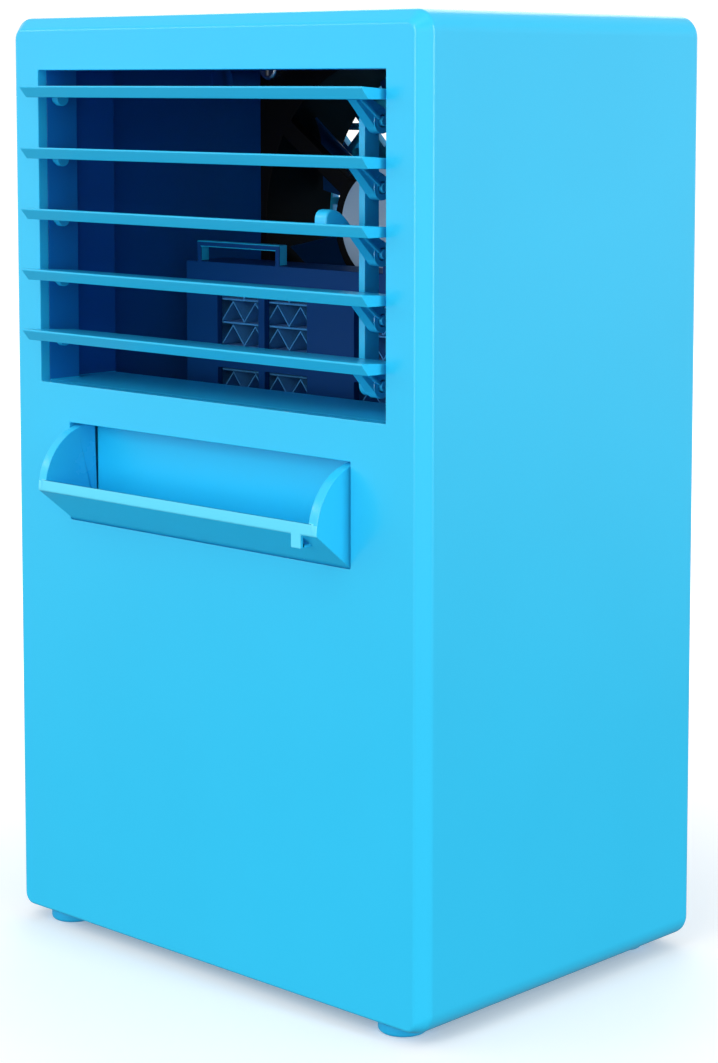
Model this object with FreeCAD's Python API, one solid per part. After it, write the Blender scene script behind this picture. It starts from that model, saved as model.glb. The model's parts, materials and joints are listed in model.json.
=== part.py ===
import FreeCAD, Part
import math
import os

# Desktop evaporative air cooler: a tall plastic case with a five-slat louvre, a hinged water-fill
# flap, a tank with a wicking pad cassette, an axial fan and a speed knob on the back.
# All sizes are millimetres.  X runs to the right seen from the front, Y to the back, Z up.
# The pieces are modelled with the case's front face at Y = 0 and its underside on the feet above
# Z = 0; every piece is moved along Y on export, so that the origin lies on the ground, under the
# middle of the whole cooler.

V = FreeCAD.Vector
RIGHT, BACK, UP = V(1, 0, 0), V(0, 1, 0), V(0, 0, 1)

# ---- overall case -------------------------------------------------------------------------
CASE_W = 147.0          # width over the side faces
CASE_D = 103.0          # depth from the front face to the rear rim
CASE_H = 237.0          # height of the case without its feet
FOOT_H = 2.6            # feet below the case
WALL = 2.5              # side, top and bottom walls
FRONT_WALL = 3.0        # front wall
CORNER_R = 5.5          # corners of the front outline
CHAMFER = 3.0           # chamfer round the front face, sides and top
CHAMFER_BOTTOM = 1.0    # the same along the bottom edge
RIM_ROUND = 2.0         # rounding of the rear rim

# ---- clearances ---------------------------------------------------------------------------
GAP = 0.3               # between pieces that move past each other or are dropped in
RUN = 0.05              # radial clearance of a pin, shaft or screw in its hole

# ---- louvre -------------------------------------------------------------------------------
OUTLET_SIDE = 12.0      # case side to outlet opening
OUTLET_TOP = 13.5       # case top to outlet opening
OUTLET_H = 80.8         # height of the outlet opening
FRAME_T = 2.0           # louvre frame: floor and roof
FRAME_SIDE_T = 5.0      # louvre frame: side walls that carry the slats
FRAME_STEP_Y = 13.0     # where the frame's side walls step back
FRAME_STEP = 2.5        # depth of that step
FRAME_D = 28.0          # rear end of the frame
SLAT_COUNT = 5
SLAT_FIRST = 3.9        # outlet top to the first slat's front edge
SLAT_LAST = 14.3        # last slat's front edge to the outlet bottom
SLAT_END = 0.9          # outlet side to slat end
SLAT_OUT = 7.5          # how far the slats stand out of the front face
SLAT_NOSE = 2.7         # how far the slat's lower front edge lies behind its upper one
SLAT_T = 2.8            # slat thickness at the front
SLAT_REAR_T = 1.9       # slat thickness at the rear
SLAT_PIVOT_Y = 6.0      # pivot axis behind the front face
SLAT_REAR = 4.5         # slat behind its pivot
SLAT_PIVOT_DROP = 3.4   # slat's front edge to its pivot axis, downwards
SLAT_TILT = 4.0         # slope at rest, front edge up, degrees
SLAT_EDGE_R = 0.7       # rounding along the front edge
PIVOT_R = 1.25          # slat pivot pins
PIVOT_BOSS_R = 1.9      # bosses under the slat ends that carry the pins
PIVOT_BOSS_L = 2.0
PIVOT_L = 2.6           # pin length in the frame's side wall
CRANK_Y = 9.7           # crank eye behind the pivot
CRANK_Z = 4.1           # crank eye below the pivot
CRANK_SIDE = 15.8       # slat end to the middle of the crank plates
CRANK_T = 3.0
EYE_R = 3.0             # crank eye
EYE_HOLE_R = 1.5
LINK_T = 2.0            # link bar
LINK_D = 5.0
LINK_SIDE = 0.5         # link bar to crank plates
LINK_PIN_R = 1.2
FIN_SIDE = 4.8          # crank plates to the middle of the thumb fin on the middle slat
FIN_T = 4.0
FIN_H = 3.4
FIN_FRONT = -5.6        # front of the fin from the pivot
FIN_REAR = 3.6          # rear of the fin from the pivot

# ---- water fill ---------------------------------------------------------------------------
BRIDGE_H = 9.9          # wall between the outlet and the fill opening
FILL_SIDE = 23.2        # case side to fill opening
FILL_H = 24.8           # height of the fill opening
FLAP_ANGLE = 52.0       # panel from the vertical at rest, which is open
FLAP_T = 2.2            # flap panel
FLAP_REACH = 13.8       # panel outside the front face
FLAP_SET = 5.5          # panel behind the front face, down to its hinge
FLAP_BARREL_R = 1.4     # hinge barrel along the panel's lower edge
FLAP_PIN_R = 1.1
CHEEK_T = 2.8           # side cheeks
NIB_H = 1.8             # stop nib that catches behind the opening's top edge
NIB_D = 2.7
TAB_SIDE = 4.0          # cheek to the middle of the pull tab under the flap's lip
TAB_W = 3.2
TAB_DROP = 3.4
TAB_T = 1.1
TAB_WEB_T = 0.8         # web from the tab's lower end back to the panel
TAB_ROOT = 1.0          # how far tab and web run into the panel
CHUTE_T = 1.6           # walls of the chute behind the flap
CHUTE_SIDE_T = 2.4      # its side walls, which carry the flap
CHUTE_DROP = 14.0       # fill opening to the chute's floor
SPOUT_HALF = 20.0
SPOUT_Y0 = 12.0
SPOUT_D = 12.0
SPOUT_L = 9.0
SPLASH_GAP = 0.7        # closed flap to the splash wall
SPLASH_LIFT = 2.0       # splash wall above the fill opening's lower edge

# ---- tank and wicking pad -----------------------------------------------------------------
TANK_SIDE = 13.0        # case side wall to tank
TANK_FRONT = 5.0        # front wall to tank
TANK_BACK = 13.5        # tank to the rear cover
TANK_LIFT = 2.5         # floor rails under the tank
TANK_T = 1.8
TANK_ROUND = 6.0
TANK_BELOW_CHUTE = 6.0  # tank rim below the chute's floor
GUIDE_T = 1.4           # guide ribs for the pad cassette
GUIDE_L = 6.0
PAD_FAN_GAP = 5.0       # pad cassette to fan
PAD_D = 15.0            # cassette depth
PAD_RISE = 29.8         # cassette top above the outlet's lower edge
PAD_WALL = 3.0
PAD_FACE_T = 2.0        # cassette front face round its windows
PAD_PAPER_T = 9.0       # paper block
PAD_GRID_T = 2.0        # retaining grid behind the paper
MULLION = 17.0          # bar between the two columns of windows
STILE = 12.0            # outer border beside the windows
WINDOW_BAR = 2.4        # bars between the windows
WINDOW_ROWS = 7
WINDOW_COLUMNS = 2      # on each side of the mullion
LOOP_X0 = 18.5          # lifting loops on the cassette's top
LOOP_SIDE = 4.2         # cassette side to its loops
LOOP_H = 5.5
LOOP_T = 1.6

# ---- rear cover ---------------------------------------------------------------------------
COVER_RECESS = 5.0      # rear rim to cover
COVER_T = 2.5
COVER_SCREW_R = 1.5
SCREW_HEAD_R = 2.8
SCREW_HEAD_H = 2.0
BOSS_R = 4.0            # screw bosses in the case corners
BOSS_L = 25.0
BOSS_SIDE = 4.4         # side wall to boss axis
BOSS_ENDS = 13.5        # case floor or roof to the outer bosses
GRILLE_PITCH = 14.0     # intake lattice
GRILLE_BAR = 2.0
GRILLE_SIDE = 25.5      # case side to lattice
GRILLE_TOP = 9.0        # case top to lattice
GRILLE_BELOW_FAN = 27.0 # lattice below the fan
PAD_DISC_R = 5.5        # solid discs in the lattice round the fan posts

# ---- fan ----------------------------------------------------------------------------------
FAN_SIZE = 92.0
FAN_T = 25.0
FAN_POST = 5.5          # posts between the fan and the rear cover
FAN_HOLE_INSET = 4.75   # fan's edge to its screw holes
FAN_HOLE_R = 2.2
FAN_RING = 2.4          # ring thickness beside the bore
FAN_CORNER_R = 3.5
FAN_POST_R = 4.0
FAN_SCREW_R = 2.0
FAN_SCREW_HEAD_R = 3.4
MOTOR_R = 17.5          # motor plate on the fan's front
MOTOR_PLATE_T = 3.0
STRUT_W = 5.0
HUB_R = 17.0
HUB_WALL = 1.4
BLADES = 7
BLADE_TIP_GAP = 1.2
BLADE_T = 1.5
SHAFT_R = 1.5
BEARING_R = 3.5
BEARING_TUBE_R = 5.0
YOKE_T = 0.8            # steel cup in the hub
MAGNET_T = 2.0
MAGNET_L = 10.0
AIR_GAP = 0.5
CORE_L = 7.0            # stator core
POLES = 4
LABEL_T = 0.3

# ---- controls -----------------------------------------------------------------------------
BOARD_W = 38.0
BOARD_H = 58.0
BOARD_T = 1.6
BOARD_GAP = 8.9         # board to rear cover
BOARD_SIDE = 34.0       # case wall to the middle of the board
BOARD_LIFT = 36.0       # case floor to the middle of the board
KNOB_LIFT = 10.0        # knob above the middle of the board
JACK_DROP = 18.0        # power inlet below the middle of the board
SWITCH_W = 15.0
SWITCH_L = 7.0
BUSH_R = 4.5            # threaded bush of the switch, through the cover
SWITCH_SHAFT_R = 3.0
KNOB_R = 10.0
KNOB_L = 9.0
KNOB_LIFTOFF = 0.6      # knob to cover
JACK_W = 9.0
JACK_BORE_R = 2.85
JACK_PIN_R = 1.05
BOARD_SCREW_R = 1.1
BOARD_SCREW_HEAD_R = 2.1
BOARD_SCREW_HEAD_H = 1.4
BOARD_POST_R = 2.6
LEAD_R = 1.1            # fan lead

# ---- feet ---------------------------------------------------------------------------------
FOOT_R = 6.0
FOOT_SIDE = 13.5        # case side to foot axis
FOOT_FRONT = 8.0        # front face to front feet
FOOT_BACK = 12.0        # rear rim to rear feet
FOOT_STEM_R = 2.5

# ---- places worked out from the sizes above -----------------------------------------------
HALF_W = CASE_W / 2
CASE_Z0 = FOOT_H
CASE_Z1 = FOOT_H + CASE_H
IN_X = HALF_W - WALL
IN_Z0 = CASE_Z0 + WALL
IN_Z1 = CASE_Z1 - WALL

OUTLET_X = HALF_W - OUTLET_SIDE
OUTLET_Z1 = CASE_Z1 - OUTLET_TOP
OUTLET_Z0 = OUTLET_Z1 - OUTLET_H
SLAT_PITCH = (OUTLET_H - SLAT_FIRST - SLAT_LAST) / (SLAT_COUNT - 1)
SLAT_X = OUTLET_X - SLAT_END
PIVOT_Z = [OUTLET_Z1 - SLAT_FIRST - SLAT_PIVOT_DROP - i * SLAT_PITCH for i in range(SLAT_COUNT)]
LEAD_SLAT = SLAT_COUNT // 2
CRANK_X = SLAT_X - CRANK_SIDE
FIN_X = CRANK_X - FIN_SIDE
LINK_X1 = CRANK_X - CRANK_T / 2 - LINK_SIDE
LINK_X0 = LINK_X1 - LINK_T

FILL_X = HALF_W - FILL_SIDE
FILL_Z1 = OUTLET_Z0 - BRIDGE_H
FILL_Z0 = FILL_Z1 - FILL_H
FLAP_RAD = math.radians(FLAP_ANGLE)
FLAP_AXIS_Y = FLAP_SET * math.sin(FLAP_RAD) + FLAP_BARREL_R * math.cos(FLAP_RAD)
FLAP_AXIS_Z = FILL_Z0 - FLAP_SET * math.cos(FLAP_RAD) + FLAP_BARREL_R * math.sin(FLAP_RAD)
LIP_Y = -FLAP_REACH * math.sin(FLAP_RAD)
LIP_Z = FILL_Z0 + FLAP_REACH * math.cos(FLAP_RAD)
CHEEK_R = FILL_Z1 - GAP - LIP_Z
CHEEK_X1 = FILL_X - GAP
CHEEK_X0 = CHEEK_X1 - CHEEK_T
TAB_X = CHEEK_X0 - TAB_SIDE
NIB_Y0 = FRONT_WALL + GAP
NIB_Z1 = FILL_Z1 + NIB_H
SWING_R = math.hypot(NIB_Y0 + NIB_D - FLAP_AXIS_Y, NIB_Z1 - FLAP_AXIS_Z)
CHUTE_X0 = FILL_X + GAP
CHUTE_X1 = CHUTE_X0 + CHUTE_SIDE_T
CHUTE_Z1 = NIB_Z1 + 2 * GAP
CHUTE_Z0 = FILL_Z0 - CHUTE_DROP
CHUTE_Y1 = FLAP_AXIS_Y + SWING_R + GAP
SPLASH_Y0 = FLAP_AXIS_Y - FLAP_BARREL_R + FLAP_T + SPLASH_GAP

COVER_Y1 = CASE_D - COVER_RECESS
COVER_Y0 = COVER_Y1 - COVER_T
FAN_Y1 = COVER_Y0 - FAN_POST
FAN_Y0 = FAN_Y1 - FAN_T
FAN_Z = (OUTLET_Z0 + OUTLET_Z1) / 2
FAN_HOLES = FAN_SIZE - 2 * FAN_HOLE_INSET
FAN_BORE_R = FAN_SIZE / 2 - FAN_RING
BOSS_X = IN_X - BOSS_SIDE
BOSS_Z = [IN_Z0 + BOSS_ENDS, (IN_Z0 + IN_Z1) / 2, IN_Z1 - BOSS_ENDS]

TANK_X = IN_X - TANK_SIDE
TANK_Y0 = FRONT_WALL + TANK_FRONT
TANK_Y1 = COVER_Y0 - TANK_BACK
TANK_Z0 = IN_Z0 + TANK_LIFT
TANK_Z1 = CHUTE_Z0 - TANK_BELOW_CHUTE
PAD_Y1 = FAN_Y0 - PAD_FAN_GAP
PAD_Y0 = PAD_Y1 - PAD_D
PAD_Z0 = TANK_Z0 + TANK_T + GAP
PAD_Z1 = OUTLET_Z0 + PAD_RISE
PAD_X = TANK_X - TANK_T - GUIDE_L / 3
LOOP_X1 = PAD_X - LOOP_SIDE
PAPER_Y0 = PAD_Y0 + PAD_FACE_T
PAPER_Y1 = PAPER_Y0 + PAD_PAPER_T

BOARD_X = IN_X - BOARD_SIDE
BOARD_Z = IN_Z0 + BOARD_LIFT
BOARD_Y1 = COVER_Y0 - BOARD_GAP
BOARD_Y0 = BOARD_Y1 - BOARD_T
KNOB_Z = BOARD_Z + KNOB_LIFT
JACK_Z = BOARD_Z - JACK_DROP
KNOB_Y0 = COVER_Y1 + KNOB_LIFTOFF
KNOB_Y1 = KNOB_Y0 + KNOB_L

FRONT_REACH = LIP_Y
ORIGIN_SHIFT = -(FRONT_REACH + KNOB_Y1) / 2


# ---- basic solids -------------------------------------------------------------------------
def box(x0, x1, y0, y1, z0, z1):
    return Part.makeBox(x1 - x0, y1 - y0, z1 - z0, V(x0, y0, z0))


def rod_x(y, z, radius, x0, x1):
    return Part.makeCylinder(radius, x1 - x0, V(x0, y, z), RIGHT)


def rod_y(x, z, radius, y0, y1):
    return Part.makeCylinder(radius, y1 - y0, V(x, y0, z), BACK)


def rod_z(x, y, radius, z0, z1):
    return Part.makeCylinder(radius, z1 - z0, V(x, y, z0), UP)


def ring_y(x, z, outer, inner, y0, y1):
    return rod_y(x, z, outer, y0, y1).cut(rod_y(x, z, inner, y0, y1))


def slab_x(points, x0, x1):
    """A flat outline of (y, z) points, from x0 to x1."""
    wire = Part.makePolygon([V(x0, y, z) for y, z in points + points[:1]])
    return Part.Face(wire).extrude(V(x1 - x0, 0, 0))


def slab_y(points, y0, y1):
    """A flat outline of (x, z) points, from y0 to y1."""
    wire = Part.makePolygon([V(x, y0, z) for x, z in points + points[:1]])
    return Part.Face(wire).extrude(V(0, y1 - y0, 0))


def outline(x0, x1, z0, z1, radius, y):
    """A rounded rectangle in the plane at y, as a closed wire of four sides and four arcs."""
    corners = [(x1 - radius, z1 - radius, 0), (x0 + radius, z1 - radius, 90),
               (x0 + radius, z0 + radius, 180), (x1 - radius, z0 + radius, 270)]
    ends = []
    arcs = []
    for x, z, start in corners:
        places = [math.radians(start + turn) for turn in (0, 45, 90)]
        points = [V(x + radius * math.cos(a), y, z + radius * math.sin(a)) for a in places]
        arcs.append(Part.Arc(*points).toShape())
        ends.append((points[0], points[2]))
    edges = []
    for i, arc in enumerate(arcs):
        edges.append(arc)
        edges.append(Part.LineSegment(ends[i][1], ends[(i + 1) % 4][0]).toShape())
    return Part.Wire(edges)


def rounded_y(x0, x1, z0, z1, radius, y0, y1):
    return Part.Face(outline(x0, x1, z0, z1, radius, y0)).extrude(V(0, y1 - y0, 0))


def both_sides(shape):
    """A shape and its mirror image across the middle plane."""
    return [shape, shape.mirror(V(0, 0, 0), RIGHT)]


def joined(first, others):
    return first.fuse(others).removeSplitter()


def cut_all(shape, tools):
    return shape.cut(Part.makeCompound(tools))


def edges_at(shape, test):
    """The edges all of whose ends pass the test, which gets a point."""
    return [e for e in shape.Edges if all(test(v.Point) for v in e.Vertexes)]


def turned_x(shape, y, z, degrees):
    """A copy turned about an axis along X, by the right-hand rule."""
    copy = shape.copy()
    copy.rotate(V(0, y, z), RIGHT, degrees)
    return copy


def screw_y(x, z, radius, head_r, head_h, seat_y, tip_y):
    """A pan-head screw along Y, with its head at seat_y and its point at tip_y."""
    way = 1 if tip_y > seat_y else -1
    head = rod_y(x, z, head_r, min(seat_y, seat_y - way * head_h), max(seat_y, seat_y - way * head_h))
    rim = edges_at(head, lambda p: abs(p.y - (seat_y - way * head_h)) < 0.01)
    head = head.makeFillet(head_h * 0.45, rim)
    shank = rod_y(x, z, radius, min(seat_y, tip_y), max(seat_y, tip_y))
    tip = edges_at(shank, lambda p: abs(p.y - tip_y) < 0.01)
    shank = shank.makeChamfer(radius * 0.45, tip)
    slot_y = seat_y - way * head_h
    deep = head_h * 0.45
    half = head_r * 0.62
    thin = head_r * 0.16
    cross = [box(x - half, x + half, slot_y - deep, slot_y + deep, z - thin, z + thin),
             box(x - thin, x + thin, slot_y - deep, slot_y + deep, z - half, z + half)]
    return cut_all(head.fuse(shank), cross)


# ---- case ---------------------------------------------------------------------------------
EAR_BOSS_R = 3.0        # bosses on the front wall for the louvre frame and the chute
EAR_Y0 = FRONT_WALL + 6.0
EAR_T = 2.0
EAR_SCREW_R = 1.3
EAR_SCREW_HEAD_R = 2.4
EAR_SCREW_HEAD_H = 1.6
EAR_SCREW_L = 6.5
EAR_TOP_SIDE = 11.5     # outlet side to the louvre frame's upper ears
LOUVRE_EARS = [(OUTLET_X - EAR_TOP_SIDE, OUTLET_Z1 + FRAME_T + EAR_BOSS_R + 1.0),
               (CHUTE_X1 + EAR_BOSS_R + 4.0, OUTLET_Z0 - FRAME_T - EAR_BOSS_R - 1.0)]
CHUTE_EAR = (CHUTE_X1 + EAR_BOSS_R + 2.0, FILL_Z0 + 6.0)


def feet_places():
    ys = (FOOT_FRONT, CASE_D - FOOT_BACK)
    return [(side * (HALF_W - FOOT_SIDE), y) for side in (-1, 1) for y in ys]


def flap_gap_line(along, off):
    """A point on the line of the open flap's outer face: along it, and off it outwards."""
    sin_a, cos_a = math.sin(FLAP_RAD), math.cos(FLAP_RAD)
    return (-along * sin_a - off * cos_a, FILL_Z0 + along * cos_a - off * sin_a)


def case_shell():
    """The outer shell: rounded outline, chamfered front, rounded rear rim, open at the back."""
    shell = rounded_y(-HALF_W, HALF_W, CASE_Z0, CASE_Z1, CORNER_R, CHAMFER, CASE_D)
    rim = edges_at(shell, lambda p: p.y > CASE_D - 0.01)
    shell = shell.makeFillet(RIM_ROUND, rim)
    front = outline(CHAMFER - HALF_W, HALF_W - CHAMFER, CASE_Z0 + CHAMFER_BOTTOM, CASE_Z1 - CHAMFER,
                    CORNER_R - CHAMFER, 0)
    full = outline(-HALF_W, HALF_W, CASE_Z0, CASE_Z1, CORNER_R, CHAMFER)
    shell = joined(shell, [Part.makeLoft([front, full], True, True)])
    hollow = rounded_y(-IN_X, IN_X, IN_Z0, IN_Z1, CORNER_R - WALL, FRONT_WALL, CASE_D + 1)
    return shell.cut(hollow)


def corner_boss(z):
    """A long screw boss beside the right wall, with a rib to the wall."""
    y0 = COVER_Y0 - BOSS_L
    boss = rod_y(BOSS_X, z, BOSS_R, y0, COVER_Y0)
    rib = box(BOSS_X, IN_X + WALL / 2, y0, COVER_Y0, z - BOSS_R * 0.6, z + BOSS_R * 0.6)
    return boss.fuse(rib)


def front_casing():
    """The case: one moulding with the outlet and fill openings, bosses and tank rails."""
    extras = []
    holes = []
    for z in BOSS_Z:
        extras += both_sides(corner_boss(z))
        holes += both_sides(rod_y(BOSS_X, z, COVER_SCREW_R + RUN, COVER_Y0 - BOSS_L * 0.6, CASE_D))
    for x, z in LOUVRE_EARS + [CHUTE_EAR]:
        extras += both_sides(rod_y(x, z, EAR_BOSS_R, FRONT_WALL / 2, EAR_Y0))
        holes += both_sides(rod_y(x, z, EAR_SCREW_R + RUN, FRONT_WALL * 0.8, EAR_Y0 + 1))
    rail_x = TANK_X * 0.7
    extras += both_sides(box(rail_x, rail_x + 3, TANK_Y0, TANK_Y1, IN_Z0 - WALL / 2, TANK_Z0))
    for x, y in feet_places():
        holes.append(rod_z(x, y, FOOT_STEM_R + RUN, CASE_Z0 - 1, IN_Z0 + 1))
    holes.append(box(-OUTLET_X, OUTLET_X, -1, FRONT_WALL + GAP, OUTLET_Z0, OUTLET_Z1))
    holes.append(box(-FILL_X, FILL_X, -1, FRONT_WALL + GAP, FILL_Z0, FILL_Z1))
    sill = [flap_gap_line(2, GAP), flap_gap_line(-FLAP_SET - 1, GAP)]
    sill += [(FRONT_WALL + 3, FILL_Z0 + 2), (-2, FILL_Z0 + 2)]
    holes.append(slab_x(sill, -FILL_X, FILL_X))
    return cut_all(joined(case_shell(), extras), holes)


def foot(x, y):
    pad = rod_z(x, y, FOOT_R, 0, FOOT_H)
    pad = pad.makeChamfer(0.8, edges_at(pad, lambda p: p.z < 0.01))
    return pad.fuse(rod_z(x, y, FOOT_STEM_R, FOOT_H, IN_Z0 + TANK_LIFT * 0.6))


def feet():
    return Part.makeCompound([foot(x, y) for x, y in feet_places()])


# ---- louvre -------------------------------------------------------------------------------
def ear(x, z, to_x, to_z):
    """A screw ear at (x, z), with a web as wide as the ear to its piece at (to_x, to_z)."""
    if abs(z - to_z) > abs(x - to_x):
        web = box(x - EAR_BOSS_R, x + EAR_BOSS_R, EAR_Y0, EAR_Y0 + EAR_T, min(z, to_z), max(z, to_z))
    else:
        web = box(min(x, to_x), max(x, to_x), EAR_Y0, EAR_Y0 + EAR_T, z - EAR_BOSS_R, z + EAR_BOSS_R)
    return rod_y(x, z, EAR_BOSS_R, EAR_Y0, EAR_Y0 + EAR_T).fuse(web)


def louvre_frame():
    """The duct behind the outlet opening, whose side walls carry the slat pivots."""
    outer_x = OUTLET_X + FRAME_SIDE_T
    z0, z1 = OUTLET_Z0 - FRAME_T, OUTLET_Z1 + FRAME_T
    duct = box(-outer_x, outer_x, FRONT_WALL, FRAME_D, z0, z1)
    duct = duct.cut(box(-OUTLET_X, OUTLET_X, FRONT_WALL - 1, FRAME_D + 1, OUTLET_Z0, OUTLET_Z1))
    wide_x = OUTLET_X + FRAME_STEP
    step = box(-wide_x, wide_x, FRAME_STEP_Y, FRAME_D + 1, OUTLET_Z0, OUTLET_Z1)
    holes = [step]
    for z in PIVOT_Z:
        holes += both_sides(rod_x(SLAT_PIVOT_Y, z, PIVOT_R + RUN, OUTLET_X - 1, OUTLET_X + PIVOT_L + GAP))
    ears = []
    (top_x, top_z), (low_x, low_z) = LOUVRE_EARS
    ears += both_sides(ear(top_x, top_z, top_x, OUTLET_Z1 + FRAME_T / 2))
    ears += both_sides(ear(low_x, low_z, low_x, OUTLET_Z0 - FRAME_T / 2))
    for x, z in LOUVRE_EARS:
        holes += both_sides(rod_y(x, z, EAR_SCREW_R + RUN, EAR_Y0 - 1, EAR_Y0 + EAR_T + 1))
    return cut_all(joined(duct, ears), holes)


def ear_screws(places):
    screws = []
    for x, z in places:
        for side in (-1, 1):
            screws.append(screw_y(side * x, z, EAR_SCREW_R, EAR_SCREW_HEAD_R, EAR_SCREW_HEAD_H,
                                  EAR_Y0 + EAR_T, EAR_Y0 + EAR_T - EAR_SCREW_L))
    return Part.makeCompound(screws)


def louvre_screws():
    return ear_screws(LOUVRE_EARS)


def slat_blade():
    """The slat's blade, level, about its pivot at Y = 0, Z = 0."""
    front_y = -(SLAT_PIVOT_Y + SLAT_OUT)
    top = SLAT_PIVOT_DROP - abs(front_y) * math.tan(math.radians(SLAT_TILT))
    profile = [(front_y, top), (front_y + SLAT_NOSE, top - SLAT_T), (SLAT_REAR, top - SLAT_REAR_T),
               (SLAT_REAR, top)]
    blade = slab_x(profile, -SLAT_X, SLAT_X)
    nose = edges_at(blade, lambda p: p.y < front_y + 0.01)
    rear = edges_at(blade, lambda p: p.y > SLAT_REAR - 0.01 and p.z > top - 0.01)
    return blade.makeFillet(SLAT_EDGE_R, nose + rear), top


def crank(top):
    """The crank plate under the slat, down to the eye that holds the link's pin."""
    x0, x1 = CRANK_X - CRANK_T / 2, CRANK_X + CRANK_T / 2
    arm = [(SLAT_REAR - 5.5, top - 1.2), (SLAT_REAR - 0.2, top - 1.0), (CRANK_Y + 2.0, -CRANK_Z + 2.2),
           (CRANK_Y - 1.2, -CRANK_Z - 2.7)]
    plate = slab_x(arm, x0, x1)
    rib = slab_x([(SLAT_REAR - 4.0, top - 1.5), (SLAT_REAR - 2.2, top - 1.5),
                  (CRANK_Y + 0.4, -CRANK_Z), (CRANK_Y - 1.2, -CRANK_Z)], x0, x1 + 0.6)
    return [plate, rib, rod_x(CRANK_Y, -CRANK_Z, EYE_R, x0, x1)]


def thumb_fin(top):
    """The fin that a finger pushes: steep rounded front, long slope to the rear."""
    x0, x1 = FIN_X - FIN_T / 2, FIN_X + FIN_T / 2
    crest = top + FIN_H
    front = Part.Arc(V(x0, FIN_FRONT, top - 0.5), V(x0, FIN_FRONT + 0.9, crest - 0.5),
                     V(x0, FIN_FRONT + 3.0, crest)).toShape()
    back = Part.Arc(V(x0, FIN_FRONT + 3.0, crest), V(x0, FIN_REAR - 2.6, crest - 1.3),
                    V(x0, FIN_REAR, top - 0.5)).toShape()
    base = Part.LineSegment(V(x0, FIN_REAR, top - 0.5), V(x0, FIN_FRONT, top - 0.5)).toShape()
    fin = Part.Face(Part.Wire([front, back, base])).extrude(V(x1 - x0, 0, 0))
    crown = [e for e in fin.Edges if e.BoundBox.ZLength > 1 and e.BoundBox.XLength < 0.01]
    return fin.makeFillet(0.6, crown)


def slat(index):
    """One slat with its end pivots and crank; the middle one carries the thumb fin."""
    blade, top = slat_blade()
    boss_x0 = SLAT_X - PIVOT_BOSS_L
    lug_h = top - SLAT_REAR_T / 2
    lug = rod_x(0, 0, PIVOT_BOSS_R, boss_x0, SLAT_X)
    neck = box(boss_x0, SLAT_X, -PIVOT_BOSS_R, PIVOT_BOSS_R, 0, lug_h)
    pin = rod_x(0, 0, PIVOT_R, boss_x0, OUTLET_X + PIVOT_L)
    extras = crank(top)
    for piece in (lug, neck, pin):
        extras += both_sides(piece)
    if index == LEAD_SLAT:
        extras.append(thumb_fin(top))
    body = joined(blade, extras)
    eye = rod_x(CRANK_Y, -CRANK_Z, EYE_HOLE_R, CRANK_X - CRANK_T, CRANK_X + CRANK_T)
    body = turned_x(body.cut(eye), 0, 0, -SLAT_TILT)
    body.translate(V(0, SLAT_PIVOT_Y, PIVOT_Z[index]))
    return body


def eye_place(index):
    """The crank eye's place at rest, as (y, z)."""
    tilt = math.radians(-SLAT_TILT)
    y = CRANK_Y * math.cos(tilt) + CRANK_Z * math.sin(tilt)
    z = CRANK_Y * math.sin(tilt) - CRANK_Z * math.cos(tilt)
    return SLAT_PIVOT_Y + y, PIVOT_Z[index] + z


def link_bar():
    """The bar that joins all the cranks, with one pin for each eye."""
    y, top_z = eye_place(0)
    low_z = eye_place(SLAT_COUNT - 1)[1]
    bar = box(LINK_X0, LINK_X1, y - LINK_D / 2, y + LINK_D / 2, low_z, top_z)
    ends = [rod_x(y, z, LINK_D / 2, LINK_X0, LINK_X1) for z in (low_z, top_z)]
    pin_x1 = CRANK_X + CRANK_T / 2 + 0.8
    pins = [rod_x(y, eye_place(i)[1], LINK_PIN_R, LINK_X0 + 0.5, pin_x1) for i in range(SLAT_COUNT)]
    return joined(bar, ends + pins)


# ---- water fill ---------------------------------------------------------------------------
def cheek():
    """One side cheek of the flap: a quarter disc with a stop nib behind the opening's edge."""
    centre_y = LIP_Y + CHEEK_R
    nib_z = LIP_Z + math.sqrt(CHEEK_R ** 2 - (centre_y - NIB_Y0) ** 2)
    middle = math.radians(145)
    arc = Part.Arc(V(CHEEK_X0, LIP_Y, LIP_Z),
                   V(CHEEK_X0, centre_y + CHEEK_R * math.cos(middle), LIP_Z + CHEEK_R * math.sin(middle)),
                   V(CHEEK_X0, NIB_Y0, nib_z)).toShape()
    corners = [(NIB_Y0, nib_z), (NIB_Y0, NIB_Z1), (NIB_Y0 + NIB_D, NIB_Z1),
               (FLAP_AXIS_Y + FLAP_BARREL_R, FLAP_AXIS_Z), flap_gap_line(-FLAP_SET, 0), (LIP_Y, LIP_Z)]
    points = [V(CHEEK_X0, y, z) for y, z in corners]
    sides = [Part.LineSegment(a, b).toShape() for a, b in zip(points, points[1:])]
    return Part.Face(Part.Wire([arc] + sides)).extrude(V(CHEEK_T, 0, 0))


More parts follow.
